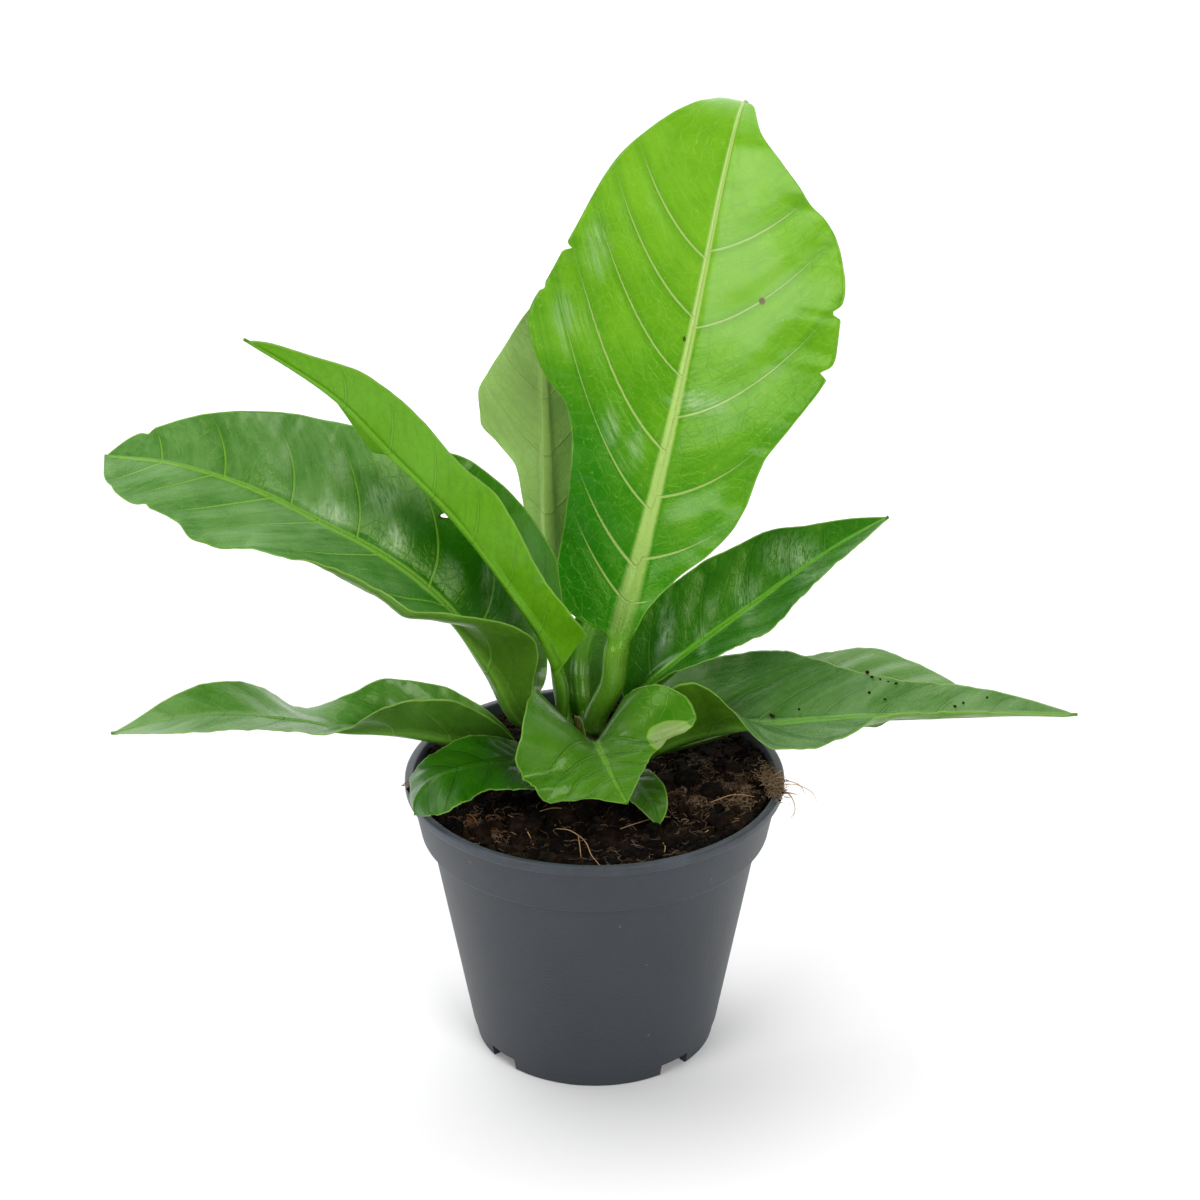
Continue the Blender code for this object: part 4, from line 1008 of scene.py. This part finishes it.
def heap_of_fibre(x, y):
    """How much pale fibrous peat lies at a place: right of the stem, and at the front."""
    return sum(strength * math.exp(-((x - right) / width) ** 2 - ((y - back) / depth) ** 2)
               for right, back, width, depth, strength in FIBRE_HEAPS)


def on_soil(chance):
    """A random place on the soil, evenly spread."""
    radius = LITTER_RADIUS * math.sqrt(chance.random())
    return polar(radius, chance.uniform(0, 2 * math.pi))


def scattered(name, count, sizes, detail, finish, chance, brightness, placed=()):
    """Many crumbs of soil, random and placed, each a rough lump of its own, as one piece."""
    lump = bmesh.new()
    bmesh.ops.create_icosphere(lump, subdivisions=detail, radius=1)
    ball = [v.co.copy() for v in lump.verts]
    tris = [tuple(v.index for v in f.verts) for f in lump.faces]
    lump.free()
    points, faces, shade = [], [], []
    small, large = sizes
    spots = [(*on_soil(chance), None, small + (large - small) * chance.random() ** 2.6)
             for _ in range(count)]
    for x, y, z, size in spots + list(placed):
        stretch = [size * chance.uniform(*CRUMB_STRETCH) for _ in range(3)]
        stretch[2] *= CRUMB_FLATNESS
        turn = chance.uniform(0, math.pi)
        seed = Vector((chance.uniform(0, 99), chance.uniform(0, 99), 0))
        if z is None:
            z = soil_surface(x, y) + stretch[2] * 0.25
        tone = chance.random() * brightness + 0.5 * heap_of_fibre(x, y) * chance.random()
        start = len(points)
        for p in ball:
            rough = 1 + CRUMB_ROUGHNESS * noise.noise(p * 1.4 + seed)
            a, b, c = (rough * s * v for s, v in zip(stretch, p))
            points.append((x + a * math.cos(turn) - b * math.sin(turn),
                           y + a * math.sin(turn) + b * math.cos(turn), z + c))
            shade.append(tone)
        faces += [tuple(start + i for i in tri) for tri in tris]
    made = piece(name, points, faces, finish, {"shade": shade})
    stands_for(made, "potting_soil")


def strand(path, radii):
    """Points and faces of a thin four-sided tube along a path."""
    path = np.asarray(path, float)
    ahead = np.gradient(path, axis=0)
    ahead /= np.linalg.norm(ahead, axis=1, keepdims=True) + 1e-9
    across = np.cross(ahead, (0.1, 0.2, 1.0))
    across /= np.linalg.norm(across, axis=1, keepdims=True) + 1e-9
    over = np.cross(ahead, across)
    points = [centre + radii[i] * (math.cos(a) * across[i] + math.sin(a) * over[i])
              for i, centre in enumerate(path) for a in (0, math.pi / 2, math.pi, 1.5 * math.pi)]
    faces = ring_faces(len(path), 4) + [(3, 2, 1, 0)]
    return points, faces + [tuple(range(len(points) - 4, len(points)))]


def strands(name, paths, finish):
    """Several thin tubes as one piece; each path is (points, thickness, shade)."""
    points, faces, shade = [], [], []
    for path, thickness, tone in paths:
        taper = np.interp(np.linspace(0, 1, len(path)), (0, 0.15, 0.8, 1), (0.7, 1, 0.8, 0.3))
        more, ring = strand(path, thickness / 2 * taper)
        faces += [tuple(len(points) + i for i in face) for face in ring]
        points += more
        shade += [tone] * len(more)
    made = piece(name, points, faces, finish, {"shade": shade})
    stands_for(made, "potting_soil")


def fibre_path(x, y, length, chance, rise=0.4):
    """A fibre that wanders over the soil from a place."""
    heading = chance.uniform(0, 2 * math.pi)
    steps = 9
    bend = chance.uniform(-0.6, 0.6)
    arch = chance.uniform(0, rise)
    out = []
    for i in range(steps):
        above = arch * math.sin(math.pi * i / (steps - 1)) * length / 8
        out.append((x, y, soil_surface(x, y) + 0.15 + above))
        heading += bend + chance.uniform(-0.45, 0.45)
        step = polar(length / steps, heading)
        x, y = x + step[0], y + step[1]
        over = math.hypot(x, y) / (LITTER_RADIUS + 1)
        if over > 1:
            x, y = x / over, y / over
    return out


def tuft_path(centre, spread, chance):
    """A short curved fibre of the tuft that sits on the rim."""
    start = np.array([chance.gauss(c, s) for c, s in zip(centre, spread)])
    start[2] = max(start[2], POT_HEIGHT + 0.3)
    turn = chance.uniform(0, 2 * math.pi)
    curl = chance.uniform(-4.5, 4.5)
    size = chance.uniform(0.5, 1.3)
    rise = chance.uniform(-0.8, 0.8)
    return [start + size * np.array((*polar(1, turn + curl * s), rise * s))
            for s in np.linspace(0, 1, 7)]


# Roots on the soil: (x, y, height over the soil) points, thickness and shade
ROOTS = [
    ([(-27, -17.5, 0.4), (-24.5, -22, 1.4), (-22, -27, 1.6), (-19.5, -33, 1),
      (-18.5, -36.5, 0.2)], 0.42, 0.8),
    ([(-12, -24.5, 0.3), (-8, -28, 1.2), (-4.8, -31.5, 1.2), (-2.5, -37, 1), (-1, -44, 1),
      (1, -52, 1.5), (2, -58, 3)], 0.38, 0.75),
    ([(-5, -31, 0.8), (-4.5, -39, 1), (-4, -46, 0.3)], 0.32, 0.7),
    ([(-20, -16, 0.3), (-13, -13, 1), (-6, -14, 0.3)], 0.32, 0.6),
    ([(21, -35.5, 0.3), (21.6, -40, 0.6), (21, -44.5, 0.3)], 0.32, 0.8),
    ([(8, -26, 0.2), (14, -22, 0.9), (21, -20, 1), (28, -21, 0.4)], 0.32, 0.6),
    ([(-42, -18, 0.3), (-38, -22, 1.6), (-35, -29, 0.3)], 0.32, 0.5),
    ([(34, -30, 0.3), (40, -26, 1.2), (46, -24, 0.4)], 0.32, 0.8),
    ([(36, -12, 0.6), (44, -10, 2), (52, -12, 0.8)], 0.32, 0.9),
]
# Roots that hang over the rim: points and thickness
RIM_ROOTS = [
    ([(54.5, -12, 90), (57, -13, 93.2), (61, -13.5, 92.6), (64, -13.5, 92)], 0.5),
    ([(55, -8, 91), (58.5, -9, 94), (61, -9, 94.3), (64.5, -9.5, 93), (66.5, -9.5, 89)], 0.35),
    ([(56, -13, 91), (60.5, -14, 92.6), (62.5, -14.5, 89), (62.5, -14.5, 86), (61, -15, 84)], 0.35),
    ([(55, -10, 91), (59, -11, 94), (63, -11.5, 94.5), (68, -12, 92), (70, -12, 88)], 0.3),
    ([(53, -3, 91), (57, -4, 94), (59.5, -4, 96)], 0.5),
    ([(52, -6, 91), (57.5, -7, 94.5), (60.5, -7.5, 95)], 0.45),
    ([(-54, -10, 91), (-58, -10.5, 93.5), (-61, -11, 94)], 0.7),
    ([(-55, -8, 91), (-58.5, -9, 94), (-60.5, -10.5, 93.5)], 0.5),
]
# Lumps along the rim: first and last angle, count, lowest height, height range, largest size
RIM_LUMPS = [(-0.7, 0.75, 44, 89.3, 1.2, 2.2), (1.9, 3.9, 56, 87.6, 2.2, 2.3)]
RIM_LUMP_RADIUS = 54.3
# Crumbs on the leaves and the lip: place and size
LEAF_CRUMBS = [
    (85.8, 8, 124, 0.9), (87.1, 6.1, 123.3, 0.5), (89.5, 5, 123.1, 0.4), (92, 4, 122.8, 0.35),
    (94.4, 3.2, 122.6, 0.45), (86, 1.8, 120, 0.5), (90.7, -1, 119.2, 0.4),
    (111.9, -6.5, 119.6, 0.5), (114.5, -5.9, 120.4, 0.45), (121.9, -5.4, 122, 0.45),
    (55.9, 3.3, 111.2, 0.9), (64.2, 2.5, 113.8, 0.45), (58.5, -9, 93.2, 0.8),
    (59, -14, 93, 0.6), (57.5, -19, 93, 0.5), (-58, -12, 93.2, 0.8), (-57.6, -8, 93.1, 0.6),
]
# Where loose fibres gather: the patches of fibrous peat as (x, y, spread), and
# the two ends of the tuft on the rim
FIBRE_PATCHES = ((38, -3, 10), (-36, -28, 5))
TUFT = ((57.0, -11.5, 93.4), (54.5, -2.0, 92.6))
TUFT_SPREAD = (1.5, 3.6, 0.9)


def add_litter(options):
    """Crumbs, fibres and root ends on the soil and over the rim."""
    chance = random.Random(LITTER_SEED)
    dark = soil_finish("soil crumb", (0.0022, 0.0015, 0.001), tuple(options.soil_colour))
    scattered("soil_crumbs", options.crumbs, CRUMB_SIZES, 2, dark, chance, 0.5, LEAF_CRUMBS)
    rim = []
    for first, last, count, low, more, size in RIM_LUMPS:
        for a in np.linspace(first, last, count):
            rim.append((*polar(RIM_LUMP_RADIUS, a), low + chance.uniform(0, more),
                        chance.uniform(1, size)))
    scattered("soil_lumps", options.crumbs // 10, LUMP_SIZES, 3, dark, chance, 0.25, rim)
    brown = fibre_finish("peat fibre", (0.035, 0.019, 0.009), (0.23, 0.15, 0.08))
    orange = fibre_finish("root", (0.16, 0.05, 0.01), (0.5, 0.3, 0.12))
    paths = []
    for _ in range(options.fibres):
        paths.append((fibre_path(*on_soil(chance), chance.uniform(2, 9), chance),
                      chance.uniform(0.12, 0.35), chance.random() ** 1.6 * 0.7))
    for _ in range(2 * options.fibres):
        *spot, spread = FIBRE_PATCHES[chance.random() >= 0.7]
        x, y = (chance.gauss(centre, spread) for centre in spot)
        over = max(1, math.hypot(x, y) / LITTER_RADIUS)
        paths.append((fibre_path(x / over, y / over, chance.uniform(1.5, 6), chance, 1.6),
                      chance.uniform(0.1, 0.28), chance.uniform(0.2, 1)))
    for _ in range(options.fibres):
        place = TUFT[chance.random() >= 0.6]
        paths.append((tuft_path(place, TUFT_SPREAD, chance), chance.uniform(0.12, 0.34),
                      chance.uniform(0.3, 1)))
    strands("peat_fibres", paths, brown)
    routes = [([(x, y, soil_height(x, y) + 0.3 + h) for x, y, h in points], thick, tone)
              for points, thick, tone in ROOTS]
    routes += [(points, thick, 0.6) for points, thick in RIM_ROOTS]
    routes = [(spline(points)[0][::4], thick, tone) for points, thick, tone in routes]
    for _ in range(options.fibres // 3):
        x, y = chance.gauss(-37, 4.5), chance.gauss(-27, 5)
        routes.append((fibre_path(x, y, chance.uniform(2, 7), chance, 1.5),
                       chance.uniform(0.12, 0.3), chance.uniform(0, 0.3)))
    strands("roots", routes, orange)


def add_stem(options):
    """The short lumpy stem, and the dried bract."""
    m = Finish("stem", Specular_IOR_Level=0.4)
    cloud = m.grain(m.place(), 160.0, 5.0, 0.6)
    body = m.blend(m.grade(cloud, 0.35, 0.65), (0.03, 0.06, 0.008), (0.09, 0.13, 0.03))
    m.paint(Base_Color=body, Roughness=0.45 + cloud * 0.2)
    points = []
    rows, sides = 40, 96
    for k in range(rows):
        v = k / (rows - 1)
        down = math.radians(2 + 100 * min(v / 0.7, 1))
        neck = max(0, v - 0.7) / 0.3
        z = CROWN[2] + (CROWN_RADIUS - 0.4) * math.cos(down) - NECK_DEPTH * neck
        for i in range(sides):
            a = 2 * math.pi * i / sides
            lump = noise.noise(Vector((3 * a, 8 * v, 1)))
            scale = 1 + 0.05 * math.sin(5 * a + 9 * v) + 0.04 * lump
            x, y = polar(CROWN_RADIUS * math.sin(down) * scale * (0.97 - 0.12 * neck), a)
            points.append((CROWN[0] + x, CROWN[1] + y, z))
    faces = ring_faces(rows, sides, over=True)
    faces.append(tuple(range(sides)))
    faces.append(tuple((rows - 1) * sides + i for i in reversed(range(sides))))
    made = piece("stem_fine", points, faces, m.material)
    stands_for(made, "stalk_green", "stem")
    bract = add_leaf("dried_bract", LEAVES["dried_bract"], LEAF_LOOKS["dried_bract"], options)
    stands_for(bract, "dried_bract", "dried_bract")


def add_leaves(options):
    """Every leaf."""
    for name, leaf in LEAVES.items():
        if name != "dried_bract":
            stands_for(add_leaf(name, leaf, LEAF_LOOKS[name], options), "leaf_green", name)


class Sky(Finish):
    """The world's light, made with the same node tools as a material."""

    def __init__(self, world):
        world.use_nodes = True
        self.material = world
        self.nodes = world.node_tree.nodes
        self.shader = self.nodes["Background"]


def add_stage(options):
    """Pale floor, soft white light and the camera at the front, looking a little down."""
    floor = Finish("floor", Base_Color=(*options.floor_colour, 1), Specular_IOR_Level=0.1)
    floor.paint(Roughness=0.85 + floor.grain(floor.place(), 60.0) * 0.1)
    bpy.ops.mesh.primitive_plane_add(size=FLOOR_SIZE)
    plane = bpy.context.object
    plane.name = "floor"
    plane.data.materials.append(floor.material)
    scene = bpy.context.scene
    scene.view_settings.view_transform = "Standard"
    scene.world = bpy.data.worlds.new("studio")
    sky = Sky(scene.world)
    direction = sky.node("ShaderNodeTexCoord", output="Generated")
    sky.shader.inputs["Color"].default_value = (1, 1, 1, 1)
    sky.paint(Strength=sky.grade(sky.split(direction, 1), -0.15, 0.75,
                                 options.front_light, options.back_light))
    lamps = [("left", (-0.61, -0.61, 0.5), 30, 0.88 * options.key_light),
             ("right", (0.42, -0.68, 0.52), 30, 1.08 * options.key_light),
             ("top", (-0.35, 0.2, 0.9), 50, options.top_light)]
    for name, place, angle, power in lamps:
        light = bpy.data.lights.new(name, "SUN")
        light.energy = power
        light.angle = math.radians(angle)
        lamp = bpy.data.objects.new(name, light)
        lamp.location = place
        lamp.rotation_euler = (-Vector(place)).to_track_quat("-Z", "Y").to_euler()
        scene.collection.objects.link(lamp)
    tilt = math.radians(VIEW_TILT)
    lens = bpy.data.cameras.new("view")
    lens.sensor_width = SENSOR_MM
    lens.lens = LENS_MM
    camera = bpy.data.objects.new("view", lens)
    camera.location = (VIEW_SIDE * MM, -VIEW_DISTANCE * math.cos(tilt) * MM,
                       (VIEW_HEIGHT + VIEW_DISTANCE * math.sin(tilt)) * MM)
    camera.rotation_euler = (math.pi / 2 - tilt, 0, 0)
    scene.collection.objects.link(camera)
    scene.camera = camera


class PlantOptions(bpy.types.PropertyGroup):
    """What a user would change about the plant."""

    leaf_detail: bpy.props.FloatProperty(
        name="Leaf detail", description="Rows of faces for each millimetre of leaf", default=1.1,
        min=0.3, max=2.0)
    vein_strength: bpy.props.FloatProperty(
        name="Veins", description="How pale the side veins are", default=1.0, min=0.0, max=1.3,
        subtype="FACTOR")
    pucker: bpy.props.FloatProperty(
        name="Pucker", description="How far the blade swells between its veins, in millimetres",
        default=0.9, min=0.0, max=2.0)
    crumbs: bpy.props.IntProperty(
        name="Crumbs", description="How many crumbs lie on the soil", default=1500, min=0, max=2200)
    fibres: bpy.props.IntProperty(
        name="Fibres", description="How many peat fibres lie on the soil", default=420, min=0,
        max=800)
    soil_colour: bpy.props.FloatVectorProperty(
        name="Soil", description="The soil's brown", default=(0.021, 0.0115, 0.006), min=0, max=1,
        subtype="COLOR")
    pot_colour: bpy.props.FloatVectorProperty(
        name="Pot", description="The pot's plastic", default=(0.022, 0.0275, 0.0355), min=0, max=1,
        subtype="COLOR")


class StageOptions(bpy.types.PropertyGroup):
    """What a user would change about the stage."""

    floor_colour: bpy.props.FloatVectorProperty(
        name="Floor", description="The floor's colour", default=(0.9, 0.9, 0.9), min=0, max=1,
        subtype="COLOR")
    key_light: bpy.props.FloatProperty(
        name="Key light", description="Strength of the soft lights in front", default=1.45, min=0)
    top_light: bpy.props.FloatProperty(
        name="Top light", description="Strength of the soft light overhead", default=1.2, min=0)
    front_light: bpy.props.FloatProperty(
        name="Front", description="Strength of the surround in front of the plant", default=0.1,
        min=0)
    back_light: bpy.props.FloatProperty(
        name="Backdrop", description="Strength of the white surround behind the plant", default=1.8,
        min=0)


class PLANT_OT_pot(bpy.types.Operator):
    """Add the nursery pot"""

    bl_idname = "plant.pot"
    bl_label = "Pot"

    def execute(self, context):
        add_pot(context.scene.plant)
        return {"FINISHED"}


class PLANT_OT_soil(bpy.types.Operator):
    """Add the soil"""

    bl_idname = "plant.soil"
    bl_label = "Soil"

    def execute(self, context):
        add_soil(context.scene.plant)
        return {"FINISHED"}


class PLANT_OT_litter(bpy.types.Operator):
    """Add the crumbs, fibres and roots on the soil"""

    bl_idname = "plant.litter"
    bl_label = "Crumbs, fibres and roots"

    def execute(self, context):
        add_litter(context.scene.plant)
        return {"FINISHED"}


class PLANT_OT_stem(bpy.types.Operator):
    """Add the stem and the dried bract"""

    bl_idname = "plant.stem"
    bl_label = "Stem and bract"

    def execute(self, context):
        add_stem(context.scene.plant)
        return {"FINISHED"}


class PLANT_OT_leaves(bpy.types.Operator):
    """Add the leaves"""

    bl_idname = "plant.leaves"
    bl_label = "Leaves"

    def execute(self, context):
        add_leaves(context.scene.plant)
        return {"FINISHED"}


class PLANT_OT_stage(bpy.types.Operator):
    """Add the floor, lights and camera"""

    bl_idname = "plant.stage"
    bl_label = "Stage"

    def execute(self, context):
        add_stage(context.scene.plant_stage)
        return {"FINISHED"}


class PLANT_PT_panel(bpy.types.Panel):
    """The plant's options and its pieces"""

    bl_idname = "PLANT_PT_panel"
    bl_label = "Anthurium"
    bl_space_type = "VIEW_3D"
    bl_region_type = "UI"
    bl_category = "Anthurium"

    def draw(self, context):
        column = self.layout.column()
        for options in (context.scene.plant, context.scene.plant_stage):
            for name in options.__annotations__:
                column.prop(options, name)
        for operator in OPERATORS:
            column.operator(operator.bl_idname)


OPERATORS = (PLANT_OT_stage, PLANT_OT_pot, PLANT_OT_soil, PLANT_OT_litter, PLANT_OT_stem,
             PLANT_OT_leaves)
CLASSES = (PlantOptions, StageOptions, *OPERATORS, PLANT_PT_panel)


def register():
    """Register the classes and hang the options on the scene."""
    for kind in CLASSES:
        bpy.utils.register_class(kind)
    bpy.types.Scene.plant = bpy.props.PointerProperty(type=PlantOptions)
    bpy.types.Scene.plant_stage = bpy.props.PointerProperty(type=StageOptions)


def unregister():
    """Take the options and the classes away again."""
    del bpy.types.Scene.plant_stage
    del bpy.types.Scene.plant
    for kind in reversed(CLASSES):
        bpy.utils.unregister_class(kind)


def main():
    """Make every piece in order."""
    register()
    bpy.ops.plant.stage()
    bpy.ops.plant.pot()
    bpy.ops.plant.soil()
    bpy.ops.plant.litter()
    bpy.ops.plant.stem()
    bpy.ops.plant.leaves()


if __name__ == "__main__":
    main()
